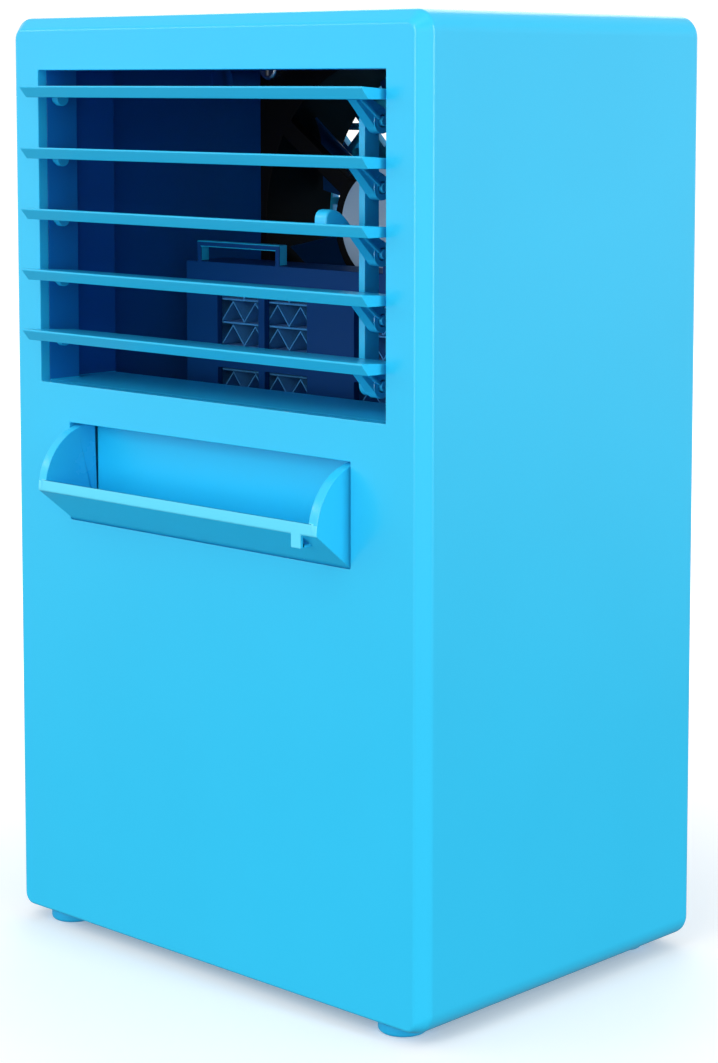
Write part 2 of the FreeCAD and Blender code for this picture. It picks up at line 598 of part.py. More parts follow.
def fill_flap():
    """The flap that water is poured into: panel, cheeks, lip, pull tab and hinge pins."""
    lip_rise = FLAP_T / math.sin(FLAP_RAD)
    panel = slab_x([(LIP_Y, LIP_Z), flap_gap_line(-FLAP_SET, 0), flap_gap_line(-FLAP_SET, -FLAP_T),
                    (LIP_Y, LIP_Z + lip_rise)], -CHEEK_X1, CHEEK_X1)
    barrel = rod_x(FLAP_AXIS_Y, FLAP_AXIS_Z, FLAP_BARREL_R, -CHEEK_X1, CHEEK_X1)
    pins = both_sides(rod_x(FLAP_AXIS_Y, FLAP_AXIS_Z, FLAP_PIN_R, CHEEK_X1 - 1, CHUTE_X1))
    x0, x1 = TAB_X - TAB_W / 2, TAB_X + TAB_W / 2
    low = LIP_Z - TAB_DROP
    tab = box(x0, x1, LIP_Y, LIP_Y + TAB_T, low, LIP_Z + TAB_ROOT)
    web_y = LIP_Y + TAB_DROP * math.tan(FLAP_RAD) + TAB_ROOT
    web = box(x0, x1, LIP_Y, web_y, low, low + TAB_WEB_T)
    return joined(panel, [barrel, tab, web] + pins + both_sides(cheek()))


def fill_chute():
    """The pocket behind the flap: a box with a splash wall, and a spout into the tank."""
    x1, y1, z1 = CHUTE_X1, CHUTE_Y1 + CHUTE_T, CHUTE_Z1 + CHUTE_T
    floor = CHUTE_Z0
    body = box(-x1, x1, FRONT_WALL, y1, floor, z1)
    front = FRONT_WALL + CHUTE_T
    wedge = [(front, floor + CHUTE_T + 4), (CHUTE_Y1, floor + CHUTE_T + 4),
             (CHUTE_Y1, CHUTE_Z1), (front, CHUTE_Z1)]
    inside = slab_x(wedge, -CHUTE_X0, CHUTE_X0)
    funnel_top = [(-CHUTE_X0, floor + CHUTE_T + 4), (CHUTE_X0, floor + CHUTE_T + 4),
                  (SPOUT_HALF, floor + CHUTE_T), (-SPOUT_HALF, floor + CHUTE_T)]
    funnel = slab_y(funnel_top, SPOUT_Y0 - CHUTE_T, SPOUT_Y0 + SPOUT_D)
    mouth = box(-CHUTE_X0, CHUTE_X0, FRONT_WALL - 1, front + 1,
                FLAP_AXIS_Z - FLAP_BARREL_R - 2 * GAP, CHUTE_Z1)
    spout = box(-SPOUT_HALF - CHUTE_T, SPOUT_HALF + CHUTE_T, SPOUT_Y0 - CHUTE_T,
                SPOUT_Y0 + SPOUT_D + CHUTE_T, floor - SPOUT_L, floor + CHUTE_T)
    bore = box(-SPOUT_HALF, SPOUT_HALF, SPOUT_Y0, SPOUT_Y0 + SPOUT_D,
               floor - SPOUT_L - 1, floor + CHUTE_T + 1)
    body = cut_all(body, [inside, funnel, mouth]).fuse(spout).cut(bore)
    splash = box(GAP - CHEEK_X0, CHEEK_X0 - GAP, SPLASH_Y0, SPLASH_Y0 + CHUTE_T,
                 FILL_Z0 + SPLASH_LIFT, CHUTE_Z1 + CHUTE_T / 2)
    ear_x, ear_z = CHUTE_EAR
    ears = both_sides(ear(ear_x, ear_z, CHUTE_X1 - CHUTE_SIDE_T / 2, ear_z))
    body = joined(body, [splash] + ears)
    holes = both_sides(rod_x(FLAP_AXIS_Y, FLAP_AXIS_Z, FLAP_PIN_R + RUN, CHUTE_X0 - 1, CHUTE_X1 + 1))
    holes += both_sides(rod_y(ear_x, ear_z, EAR_SCREW_R + RUN, EAR_Y0 - 1, EAR_Y0 + EAR_T + 1))
    return cut_all(body, holes)


def chute_screws():
    return ear_screws([CHUTE_EAR])


# ---- tank and pad cassette ----------------------------------------------------------------
def upright_box(x, y0, y1, z0, z1, radius):
    """A box about the middle plane, with its upright corners rounded."""
    shape = box(-x, x, y0, y1, z0, z1)
    uprights = [e for e in shape.Edges if e.BoundBox.ZLength > z1 - z0 - 0.01]
    return shape.makeFillet(radius, uprights)


def water_tank():
    """The open tank, with guide ribs that hold the pad cassette upright."""
    outer = upright_box(TANK_X, TANK_Y0, TANK_Y1, TANK_Z0, TANK_Z1, TANK_ROUND)
    inner = upright_box(TANK_X - TANK_T, TANK_Y0 + TANK_T, TANK_Y1 - TANK_T,
                        TANK_Z0 + TANK_T, TANK_Z1 + 1, TANK_ROUND - TANK_T)
    ribs = []
    x0, x1 = TANK_X - TANK_T - GUIDE_L, TANK_X - TANK_T / 2
    for y0 in (PAD_Y0 - GAP - GUIDE_T, PAD_Y1 + GAP):
        ribs += both_sides(box(x0, x1, y0, y0 + GUIDE_T, TANK_Z0 + TANK_T / 2, TANK_Z1 - 4))
    return joined(outer.cut(inner), ribs)


def window_boxes(y0, y1):
    """The cutters for the cassette's windows, on both sides of the mullion."""
    x0, x1 = MULLION / 2, PAD_X - STILE
    z0, z1 = PAD_Z0 + 2 * PAD_WALL, PAD_Z1 - 2 * PAD_WALL
    wide = (x1 - x0 + WINDOW_BAR) / WINDOW_COLUMNS
    high = (z1 - z0 + WINDOW_BAR) / WINDOW_ROWS
    cutters = []
    for column in range(WINDOW_COLUMNS):
        for row in range(WINDOW_ROWS):
            left, low = x0 + column * wide, z0 + row * high
            cutters += both_sides(box(left, left + wide - WINDOW_BAR, y0, y1, low, low + high - WINDOW_BAR))
    return cutters


def pad_frame():
    """The pad's cassette: a shallow tray open to the back, with windows and lifting loops."""
    tray = box(-PAD_X, PAD_X, PAD_Y0, PAD_Y1, PAD_Z0, PAD_Z1)
    side, low, high = PAD_X - PAD_WALL, PAD_Z0 + PAD_WALL, PAD_Z1 - PAD_WALL
    hollow = box(-side, side, PAPER_Y0, PAD_Y1 + 1, low, high)
    tray = cut_all(tray, [hollow] + window_boxes(PAD_Y0 - 1, PAPER_Y0 + 1))
    loop = box(LOOP_X0, LOOP_X1, PAD_Y0, PAD_Y0 + PAD_WALL, PAD_Z1 - 1, PAD_Z1 + LOOP_H)
    slot = box(LOOP_X0 + LOOP_T, LOOP_X1 - LOOP_T, PAD_Y0 - 1, PAD_Y0 + PAD_WALL + 1,
               PAD_Z1, PAD_Z1 + LOOP_H - LOOP_T)
    return joined(tray, both_sides(loop.cut(slot)))


def wick_pad():
    """The block of corrugated wicking paper."""
    inset = PAD_WALL + GAP
    return box(inset - PAD_X, PAD_X - inset, PAPER_Y0, PAPER_Y1, PAD_Z0 + inset, PAD_Z1 - inset)


def pad_grid():
    """The grid that snaps into the cassette behind the paper."""
    inset = PAD_WALL + GAP
    side, low, high = PAD_X - inset, PAD_Z0 + inset, PAD_Z1 - inset
    plate = box(-side, side, PAPER_Y1, PAPER_Y1 + PAD_GRID_T, low, high)
    return cut_all(plate, window_boxes(PAPER_Y1 - 1, PAPER_Y1 + PAD_GRID_T + 1))


# ---- rear cover ---------------------------------------------------------------------------
def fan_corners():
    half = FAN_HOLES / 2
    return [(x, FAN_Z + z) for x in (-half, half) for z in (-half, half)]


def board_corners():
    inset = BOARD_POST_R + 0.4
    half_w, half_h = BOARD_W / 2 - inset, BOARD_H / 2 - inset
    return [(BOARD_X + x, BOARD_Z + z) for x in (-half_w, half_w) for z in (-half_h, half_h)]


def lattice_cells():
    """Triangular holes: a diamond lattice with a level bar through each row of diamonds."""
    x1 = HALF_W - GRILLE_SIDE
    z0, z1 = FAN_Z - FAN_SIZE / 2 - GRILLE_BELOW_FAN, CASE_Z1 - GRILLE_TOP
    half = GRILLE_PITCH / 2
    reach = half - GRILLE_BAR / math.sqrt(2)
    lift = GRILLE_BAR / 2
    cells = []
    columns = int(x1 / half) + 1
    rows = int((z1 - z0) / half) + 1
    for row in range(rows + 1):
        for column in range(-columns, columns + 1):
            if (row + column) % 2:
                continue
            x, z = column * half, z0 + row * half
            for way in (-1, 1):
                points = [(x - reach + lift, z + way * lift), (x + reach - lift, z + way * lift),
                          (x, z + way * reach)]
                cells.append(slab_y(points, COVER_Y0 - 1, COVER_Y1 + 1))
    area = rounded_y(-x1, x1, z0, z1, CORNER_R, COVER_Y0 - 1, COVER_Y1 + 1)
    discs = [rod_y(x, z, PAD_DISC_R, COVER_Y0 - 2, COVER_Y1 + 2) for x, z in fan_corners()]
    return Part.makeCompound(cells).common(area).cut(Part.makeCompound(discs))


def rear_cover():
    """The cover inside the rear rim: intake lattice, fan and board posts, tank stops."""
    x1, z0, z1 = IN_X - GAP, IN_Z0 + GAP, IN_Z1 - GAP
    plate = rounded_y(-x1, x1, z0, z1, CORNER_R - WALL - GAP, COVER_Y0, COVER_Y1)
    plate = plate.cut(lattice_cells())
    posts = [rod_y(x, z, FAN_POST_R, FAN_Y1, COVER_Y0 + 1) for x, z in fan_corners()]
    posts += [rod_y(x, z, BOARD_POST_R, BOARD_Y1, COVER_Y0 + 1) for x, z in board_corners()]
    stop_z = (TANK_Z0 + TANK_Z1) / 2
    stop_x = TANK_X * 0.6
    stops = [box(-stop_x - 8, -stop_x - 5, TANK_Y1, COVER_Y0 + 1, stop_z - 8, stop_z + 8),
             box(-5, -2, TANK_Y1, COVER_Y0 + 1, stop_z - 8, stop_z + 8)]
    holes = []
    for z in BOSS_Z:
        holes += both_sides(rod_y(BOSS_X, z, COVER_SCREW_R + RUN, COVER_Y0 - 1, COVER_Y1 + 1))
    holes += [rod_y(x, z, FAN_SCREW_R + RUN, FAN_Y1 - 1, COVER_Y1 - 1) for x, z in fan_corners()]
    holes += [rod_y(x, z, BOARD_SCREW_R + RUN, BOARD_Y1 - 1, COVER_Y0) for x, z in board_corners()]
    holes.append(rod_y(BOARD_X, KNOB_Z, BUSH_R + RUN, COVER_Y0 - 1, COVER_Y1 + 1))
    holes.append(rod_y(BOARD_X, JACK_Z, JACK_BORE_R + 1.2, COVER_Y0 - 1, COVER_Y1 + 1))
    return cut_all(joined(plate, posts + stops), holes)


def cover_screws():
    screws = []
    for z in BOSS_Z:
        for side in (-1, 1):
            screws.append(screw_y(side * BOSS_X, z, COVER_SCREW_R, SCREW_HEAD_R, SCREW_HEAD_H,
                                  COVER_Y1, COVER_Y1 - BOSS_L * 0.45))
    return Part.makeCompound(screws)


# ---- fan ----------------------------------------------------------------------------------
HUB_Y0 = FAN_Y0 + MOTOR_PLATE_T + 1.0
HUB_Y1 = FAN_Y1 - 1.0
TUBE_Y1 = HUB_Y1 - HUB_WALL - YOKE_T - 1.5
CLIP_T = 0.6
CLIP_R = 2.8
NECK_R = SHAFT_R - 0.3


def fan_frame():
    """The square fan housing, with the motor plate on four struts at its front."""
    half = FAN_SIZE / 2
    body = rounded_y(-half, half, FAN_Z - half, FAN_Z + half, FAN_CORNER_R, FAN_Y0, FAN_Y1)
    body = body.cut(rod_y(0, FAN_Z, FAN_BORE_R, FAN_Y0 - 1, FAN_Y1 + 1))
    waist = []
    for x, z in fan_corners():
        away_x, away_z = math.copysign(6, x), math.copysign(6, z - FAN_Z)
        ring = rod_y(x + away_x, z + away_z, 13, FAN_Y0 + 4, FAN_Y1 - 4)
        waist.append(ring.cut(rod_y(0, FAN_Z, FAN_BORE_R + 2.2, FAN_Y0, FAN_Y1)))
    body = cut_all(body, waist)
    plate = rod_y(0, FAN_Z, MOTOR_R, FAN_Y0, FAN_Y0 + MOTOR_PLATE_T)
    strut = box(-FAN_BORE_R - 0.5, FAN_BORE_R + 0.5, FAN_Y0, FAN_Y0 + MOTOR_PLATE_T,
                FAN_Z - STRUT_W / 2, FAN_Z + STRUT_W / 2)
    struts = []
    for angle in (35, 125):
        copy = strut.copy()
        copy.rotate(V(0, 0, FAN_Z), BACK, angle)
        struts.append(copy)
    tube = rod_y(0, FAN_Z, BEARING_TUBE_R, FAN_Y0 + 1, TUBE_Y1)
    body = joined(body, [plate, tube] + struts)
    holes = [rod_y(x, z, FAN_HOLE_R, FAN_Y0 - 1, FAN_Y1 + 1) for x, z in fan_corners()]
    holes.append(rod_y(0, FAN_Z, BEARING_R + RUN, FAN_Y0 + 1, TUBE_Y1 + 1))
    return cut_all(body, holes)


def blade_section(radius, chord, pitch_degrees):
    """A cambered blade section in the plane at x = radius, as a closed wire."""
    pitch = math.radians(pitch_degrees)
    mid_y = (HUB_Y0 + HUB_Y1) / 2

    def place(along, off):
        y = mid_y + along * math.sin(pitch) + off * math.cos(pitch)
        z = FAN_Z + along * math.cos(pitch) - off * math.sin(pitch)
        return V(radius, y, z)

    half, camber, thick = chord / 2, chord * 0.10, BLADE_T
    upper = Part.Arc(place(-half, 0.3), place(0, camber + thick / 2), place(half, 0.3)).toShape()
    lower = Part.Arc(place(half, -0.3), place(0, camber - thick / 2), place(-half, -0.3)).toShape()
    nose = Part.LineSegment(place(half, 0.3), place(half, -0.3)).toShape()
    tail = Part.LineSegment(place(-half, -0.3), place(-half, 0.3)).toShape()
    return Part.Wire([upper, nose, lower, tail])


def fan_impeller():
    """The moulded hub cup and its blades."""
    tip_r = FAN_BORE_R - BLADE_TIP_GAP
    sections = [blade_section(HUB_R - HUB_WALL / 2, 15, 46), blade_section(HUB_R + 13, 21, 36),
                blade_section(tip_r + 1, 27, 29)]
    blade = Part.makeLoft(sections, True, False)
    blade = blade.common(ring_y(0, FAN_Z, tip_r, HUB_R - HUB_WALL / 2, HUB_Y0, HUB_Y1))
    blades = []
    for i in range(BLADES):
        copy = blade.copy()
        copy.rotate(V(0, 0, FAN_Z), BACK, 360 / BLADES * i)
        blades.append(copy)
    cup = rod_y(0, FAN_Z, HUB_R, HUB_Y0, HUB_Y1)
    cup = cup.makeFillet(1.0, edges_at(cup, lambda p: p.y > HUB_Y1 - 0.01))
    cup = cup.cut(rod_y(0, FAN_Z, HUB_R - HUB_WALL, HUB_Y0 - 1, HUB_Y1 - HUB_WALL))
    body = cup.fuse(blades)
    return body.cut(rod_y(0, FAN_Z, SHAFT_R, HUB_Y1 - HUB_WALL - 1, HUB_Y1 - 0.5))


def rotor_yoke():
    """The steel cup pressed into the hub."""
    outer, y1 = HUB_R - HUB_WALL, HUB_Y1 - HUB_WALL
    cup = rod_y(0, FAN_Z, outer, HUB_Y0 + 1, y1)
    cup = cup.cut(rod_y(0, FAN_Z, outer - YOKE_T, HUB_Y0, y1 - YOKE_T))
    return cup.cut(rod_y(0, FAN_Z, SHAFT_R, y1 - YOKE_T - 1, y1 + 1))


def magnet_ring():
    outer = HUB_R - HUB_WALL - YOKE_T
    return ring_y(0, FAN_Z, outer, outer - MAGNET_T, HUB_Y0 + 2, HUB_Y0 + 2 + MAGNET_L)


def rotor_shaft():
    """The steel shaft, with a neck near its front end for the clip."""
    y0 = FAN_Y0 + 1.6
    shaft = rod_y(0, FAN_Z, SHAFT_R, y0, HUB_Y1 - 0.5)
    neck_y = y0 + 0.8
    groove = ring_y(0, FAN_Z, SHAFT_R + 1, NECK_R, neck_y, neck_y + CLIP_T + 0.2)
    return shaft.cut(groove)


def shaft_clip():
    y0 = FAN_Y0 + 1.6 + 0.8 + 0.1
    clip = ring_y(0, FAN_Z, CLIP_R, NECK_R + 0.02, y0, y0 + CLIP_T)
    return clip.cut(box(0, CLIP_R + 1, y0 - 1, y0 + 2, FAN_Z - 0.5, FAN_Z + 0.5))


def shaft_bearing():
    y0 = FAN_Y0 + 1.6 + 0.8 + CLIP_T + 0.8
    return ring_y(0, FAN_Z, BEARING_R, SHAFT_R + RUN, y0, TUBE_Y1 - 0.3)


STATOR_R = HUB_R - HUB_WALL - YOKE_T - MAGNET_T - AIR_GAP
CORE_Y0 = HUB_Y0 + 3.5
POLE_W = 4.0


def stator_core():
    """The laminated core: a ring on the bearing tube with T-shaped poles."""
    ring = rod_y(0, FAN_Z, BEARING_TUBE_R + 1.6, CORE_Y0, CORE_Y0 + CORE_L)
    face = ring_y(0, FAN_Z, STATOR_R, STATOR_R - 1.2, CORE_Y0, CORE_Y0 + CORE_L)
    poles = []
    gaps = []
    for i in range(POLES):
        pole = box(-POLE_W / 2, POLE_W / 2, CORE_Y0, CORE_Y0 + CORE_L, FAN_Z, FAN_Z + STATOR_R - 0.6)
        gap = box(-0.9, 0.9, CORE_Y0 - 1, CORE_Y0 + CORE_L + 1, FAN_Z + STATOR_R - 2, FAN_Z + STATOR_R + 2)
        pole.rotate(V(0, 0, FAN_Z), BACK, 360 / POLES * i)
        gap.rotate(V(0, 0, FAN_Z), BACK, 360 / POLES * (i + 0.5))
        poles.append(pole)
        gaps.append(gap)
    core = joined(ring, [face] + poles)
    return cut_all(core, gaps + [rod_y(0, FAN_Z, BEARING_TUBE_R + RUN, CORE_Y0 - 1, CORE_Y0 + CORE_L + 1)])


def stator_coils():
    """One winding round each pole's neck."""
    z0, z1 = FAN_Z + BEARING_TUBE_R + 2.1, FAN_Z + STATOR_R - 2.2
    coils = []
    for i in range(POLES):
        outer = box(-POLE_W / 2 - 1.3, POLE_W / 2 + 1.3, CORE_Y0 - 1.3, CORE_Y0 + CORE_L + 1.3, z0, z1)
        upright = [e for e in outer.Edges if e.BoundBox.ZLength > 0.5]
        outer = outer.makeFillet(1.0, upright)
        coil = outer.cut(box(-POLE_W / 2, POLE_W / 2, CORE_Y0, CORE_Y0 + CORE_L, z0 - 1, z1 + 1))
        coil.rotate(V(0, 0, FAN_Z), BACK, 360 / POLES * i)
        coils.append(coil)
    return Part.makeCompound(coils)


def motor_board():
    """The small round driver board on the motor plate."""
    y0 = FAN_Y0 + MOTOR_PLATE_T
    return ring_y(0, FAN_Z, STATOR_R - 1, BEARING_TUBE_R, y0, y0 + 1.0)


def motor_label():
    """A plain sticker on the motor plate."""
    return rod_y(0, FAN_Z, MOTOR_R - 1.5, FAN_Y0 - LABEL_T, FAN_Y0)


def fan_screws():
    return Part.makeCompound([screw_y(x, z, FAN_SCREW_R, FAN_SCREW_HEAD_R, SCREW_HEAD_H, FAN_Y0, FAN_Y1 + 5)
                              for x, z in fan_corners()])


# ---- controls -----------------------------------------------------------------------------
def control_board():
    """The board behind the cover, with a few plain components."""
    x0, z0 = BOARD_X - BOARD_W / 2, BOARD_Z - BOARD_H / 2
    board = box(x0, x0 + BOARD_W, BOARD_Y0, BOARD_Y1, z0, z0 + BOARD_H)
    chips = [box(x0 + 6, x0 + 14, BOARD_Y1 - 0.5, BOARD_Y1 + 1.8, z0 + 22, z0 + 28),
             rod_y(x0 + 31, z0 + 22, 3.0, BOARD_Y1 - 0.5, BOARD_Y1 + 6.5),
             box(x0 + 10, x0 + 20, BOARD_Y1 - 0.5, BOARD_Y1 + 5.0, z0 + 49, z0 + 55)]
    body = joined(board, chips)
    return cut_all(body, [rod_y(x, z, BOARD_SCREW_R + 0.3, BOARD_Y0 - 1, BOARD_Y1 + 1)
                          for x, z in board_corners()])


def board_screws():
    return Part.makeCompound([screw_y(x, z, BOARD_SCREW_R, BOARD_SCREW_HEAD_R, BOARD_SCREW_HEAD_H,
                                      BOARD_Y0, BOARD_Y1 + 5) for x, z in board_corners()])


def speed_switch():
    """The rotary switch: a square body on the board and a bush through the cover."""
    half = SWITCH_W / 2
    body = box(BOARD_X - half, BOARD_X + half, BOARD_Y1, BOARD_Y1 + SWITCH_L, KNOB_Z - half, KNOB_Z + half)
    body = body.fuse(rod_y(BOARD_X, KNOB_Z, BUSH_R, BOARD_Y1 + SWITCH_L, COVER_Y1))
    return body.cut(rod_y(BOARD_X, KNOB_Z, SWITCH_SHAFT_R + RUN, BOARD_Y1 + 2, COVER_Y1 + 1))


def switch_shaft():
    """The switch's shaft, flattened on one side inside the knob."""
    shaft = rod_y(BOARD_X, KNOB_Z, SWITCH_SHAFT_R, BOARD_Y1 + 2 + GAP, KNOB_Y1 - 2)
    flat = box(BOARD_X - 5, BOARD_X + 5, KNOB_Y0, KNOB_Y1, KNOB_Z + SWITCH_SHAFT_R - 0.8, KNOB_Z + 6)
    return shaft.cut(flat)


def speed_knob():
    """The knob: a round skirt with a grip bar across it and a pointer groove."""
    grip_h = 5.5
    skirt = rod_y(BOARD_X, KNOB_Z, KNOB_R, KNOB_Y0, KNOB_Y1 - grip_h)
    skirt = skirt.makeFillet(0.8, edges_at(skirt, lambda p: p.y > KNOB_Y1 - grip_h - 0.01))
    bar = box(BOARD_X - 3.6, BOARD_X + 3.6, KNOB_Y1 - grip_h - 1, KNOB_Y1, KNOB_Z - KNOB_R, KNOB_Z + KNOB_R)
    bar = bar.common(rod_y(BOARD_X, KNOB_Z, KNOB_R - 0.4, KNOB_Y0, KNOB_Y1))
    bar = bar.makeFillet(0.8, edges_at(bar, lambda p: p.y > KNOB_Y1 - 0.01))
    knob = joined(skirt, [bar])
    bore = rod_y(BOARD_X, KNOB_Z, SWITCH_SHAFT_R, KNOB_Y0 - 1, KNOB_Y1 - 2)
    flat = box(BOARD_X - 5, BOARD_X + 5, KNOB_Y0, KNOB_Y1, KNOB_Z + SWITCH_SHAFT_R - 0.8, KNOB_Z + 6)
    groove = box(BOARD_X - 0.6, BOARD_X + 0.6, KNOB_Y1 - 0.6, KNOB_Y1 + 1, KNOB_Z + 2, KNOB_Z + KNOB_R)
    return knob.cut(bore.cut(flat)).cut(groove)


def power_jack():
    """The low-voltage power inlet on the board; its bore looks out through the cover."""
    half = JACK_W / 2
    body = box(BOARD_X - half, BOARD_X + half, BOARD_Y1, COVER_Y0 - GAP, JACK_Z - half, JACK_Z + half)
    body = body.fuse(rod_y(BOARD_X, JACK_Z, JACK_BORE_R + 1.0, COVER_Y0 - 1, COVER_Y1 - 0.5))
    return body.cut(rod_y(BOARD_X, JACK_Z, JACK_BORE_R, BOARD_Y1 + 1.5, COVER_Y1 + 1))


def jack_pin():
    """The inlet's centre contact."""
    return rod_y(BOARD_X, JACK_Z, JACK_PIN_R, BOARD_Y1 + 1.5, COVER_Y1 - 1.5)


def lead_route():
    """The fan lead's corners, from the fan's lower edge to the board's connector."""
    y = FAN_Y1 + LEAD_R + 0.4
    low = BOARD_Z + BOARD_H / 2
    x0 = BOARD_X - BOARD_W / 2 + 15
    return [V(8, y, FAN_Z - FAN_SIZE / 2 + 6), V(8, y, FAN_Z - FAN_SIZE / 2 - 18),
            V(x0 + 4, y, low + 26), V(x0 + 2, BOARD_Y1 + 2.5, low + 9), V(x0, BOARD_Y1 + 2.5, low - 3)]


def fan_lead():
    """The fan's two-core lead, straight runs joined by tangent arcs."""
    route = lead_route()
    edges = []
    start = route[0]
    for before, corner, after in zip(route, route[1:], route[2:]):
        back, onward = before - corner, after - corner
        run = min(back.Length, onward.Length) * 0.45
        back.normalize()
        onward.normalize()
        half_turn = (math.pi - back.getAngle(onward)) / 2
        radius = run / math.tan(half_turn)
        inwards = back + onward
        inwards.normalize()
        middle = corner + inwards * (radius * (1 / math.cos(half_turn) - 1))
        first, last = corner + back * run, corner + onward * run
        edges.append(Part.LineSegment(start, first).toShape())
        edges.append(Part.Arc(first, middle, last).toShape())
        start = last
    edges.append(Part.LineSegment(start, route[-1]).toShape())
    section = Part.Wire(Part.makeCircle(LEAD_R, route[0], route[1] - route[0]))
    return Part.Wire(edges).makePipeShell([section], True, True)


PIECES = {
    "front_casing": front_casing,
    "feet": feet,
    "rear_cover": rear_cover,
    "cover_screws": cover_screws,
    "louvre_frame": louvre_frame,
    "louvre_screws": louvre_screws,
    "link_bar": link_bar,
    "fill_flap": fill_flap,
    "fill_chute": fill_chute,
    "chute_screws": chute_screws,
    "water_tank": water_tank,
    "pad_frame": pad_frame,
    "wick_pad": wick_pad,
    "pad_grid": pad_grid,
    "fan_frame": fan_frame,
    "fan_screws": fan_screws,
    "fan_impeller": fan_impeller,
    "rotor_yoke": rotor_yoke,
    "magnet_ring": magnet_ring,
    "rotor_shaft": rotor_shaft,
    "shaft_clip": shaft_clip,
    "shaft_bearing": shaft_bearing,
    "stator_core": stator_core,
    "stator_coils": stator_coils,
    "motor_board": motor_board,
    "motor_label": motor_label,
    "control_board": control_board,
    "board_screws": board_screws,
    "speed_switch": speed_switch,
    "switch_shaft": switch_shaft,
    "speed_knob": speed_knob,
    "power_jack": power_jack,
    "jack_pin": jack_pin,
    "fan_lead": fan_lead,
}


def export(name, shape):
    shape = shape.copy()
    shape.translate(V(0, ORIGIN_SHIFT, 0))
    shape.exportStep(os.path.join("parts", name + ".step"))
    print(name, "solids", len(shape.Solids), "valid", shape.isValid(), "volume", round(shape.Volume, 1))


os.makedirs("parts", exist_ok=True)
for piece_name, make in PIECES.items():
    export(piece_name, make())
for slat_index in range(SLAT_COUNT):
    export("slat_%d" % (slat_index + 1), slat(slat_index))
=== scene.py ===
# Looks of a desktop evaporative air cooler: case, louvre, water-fill flap, feet, rear cover, knob,
# wicking pad and fan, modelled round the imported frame.  Lengths are metres in the row frame.

import json
import logging
import math
from dataclasses import dataclass, field
from enum import Enum
from typing import Callable, Sequence

import bmesh
import bpy
from bpy.types import Material, Node, NodeSocket, Object
from mathutils import Euler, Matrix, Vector


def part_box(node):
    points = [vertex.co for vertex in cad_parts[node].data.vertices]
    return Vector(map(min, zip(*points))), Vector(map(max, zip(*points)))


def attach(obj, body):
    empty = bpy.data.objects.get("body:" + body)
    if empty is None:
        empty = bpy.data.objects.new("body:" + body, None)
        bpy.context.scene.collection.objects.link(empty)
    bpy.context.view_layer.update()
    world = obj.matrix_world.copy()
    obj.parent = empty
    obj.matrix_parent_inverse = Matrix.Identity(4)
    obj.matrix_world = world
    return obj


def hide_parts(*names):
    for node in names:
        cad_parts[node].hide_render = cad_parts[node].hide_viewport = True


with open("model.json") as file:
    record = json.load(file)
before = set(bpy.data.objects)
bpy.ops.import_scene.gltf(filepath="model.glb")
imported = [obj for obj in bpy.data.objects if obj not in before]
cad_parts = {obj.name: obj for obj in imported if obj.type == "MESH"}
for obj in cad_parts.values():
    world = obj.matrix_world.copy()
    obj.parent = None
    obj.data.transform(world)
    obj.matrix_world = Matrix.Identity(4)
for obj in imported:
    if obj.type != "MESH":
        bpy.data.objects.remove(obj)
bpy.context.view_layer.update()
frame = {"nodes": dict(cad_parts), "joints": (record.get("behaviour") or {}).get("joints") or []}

LOG = logging.getLogger("cooler")
MM = 0.001
NEAR = 0.02 * MM
HAIR = 0.1 * MM
Test = Callable[[Vector], bool]
Link = Callable[[Vector, Vector], bool]


# ---- bench work: the few operations that every piece is made with ----------------------------
class Axis(Enum):
    """The turn that lays a rod along each axis."""

    X = (0.0, math.pi / 2, 0.0)
    Y = (math.pi / 2, 0.0, 0.0)
    Z = (0.0, 0.0, 0.0)


class Join(Enum):
    """How a tool piece works on another."""

    AWAY = "DIFFERENCE"
    TOGETHER = "UNION"
    COMMON = "INTERSECT"


class Pick(Enum):
    """What is picked on a mesh in edit mode."""

    CORNERS = "VERT"
    EDGES = "EDGE"
    FACES = "FACE"


def select_only(piece: Object) -> None:
    """Leaves object mode with one piece selected and active."""
    if bpy.context.mode != "OBJECT":
        bpy.ops.object.mode_set(mode="OBJECT")
    bpy.ops.object.select_all(action="DESELECT")
    piece.select_set(True)
    bpy.context.view_layer.objects.active = piece


def clear_selection() -> None:
    """Deselects everything, so that an operator works only on what is added next."""
    if bpy.context.mode != "OBJECT":
        bpy.ops.object.mode_set(mode="OBJECT")
    bpy.ops.object.select_all(action="DESELECT")


def settle(piece: Object) -> Object:
    """Puts a piece's place, turn and scale into its mesh."""
    select_only(piece)
    bpy.ops.object.transform_apply(location=True, rotation=True, scale=True)
    return piece


def block(name: str, low: Sequence[float], high: Sequence[float]) -> Object:
    """Adds a box between two corners.

    Args:
        name: The piece's name.
        low: Its lowest corner.
        high: Its highest corner.

    Returns:
        The new piece, settled.
    """
    low, high = Vector(low), Vector(high)
    clear_selection()
    bpy.ops.mesh.primitive_cube_add(size=1.0, location=(low + high) / 2, scale=high - low)
    piece = bpy.context.active_object
    piece.name = name
    return settle(piece)


def rod(name: str, axis: Axis, radius: float, start: Sequence[float], length: float,
        sides: int = 48) -> Object:
    """Adds a round rod.

    Args:
        name: The piece's name.
        axis: The axis that it lies along.
        radius: Its radius.
        start: The middle of its first end.
        length: How far it runs along the axis.
        sides: Its number of sides.

    Returns:
        The new piece, settled.
    """
    along = Vector([float(axis is a) for a in Axis])
    clear_selection()
    bpy.ops.mesh.primitive_cylinder_add(
        vertices=sides, radius=radius, depth=abs(length),
        location=Vector(start) + along * length / 2, rotation=axis.value)
    piece = bpy.context.active_object
    piece.name = name
    return settle(piece)


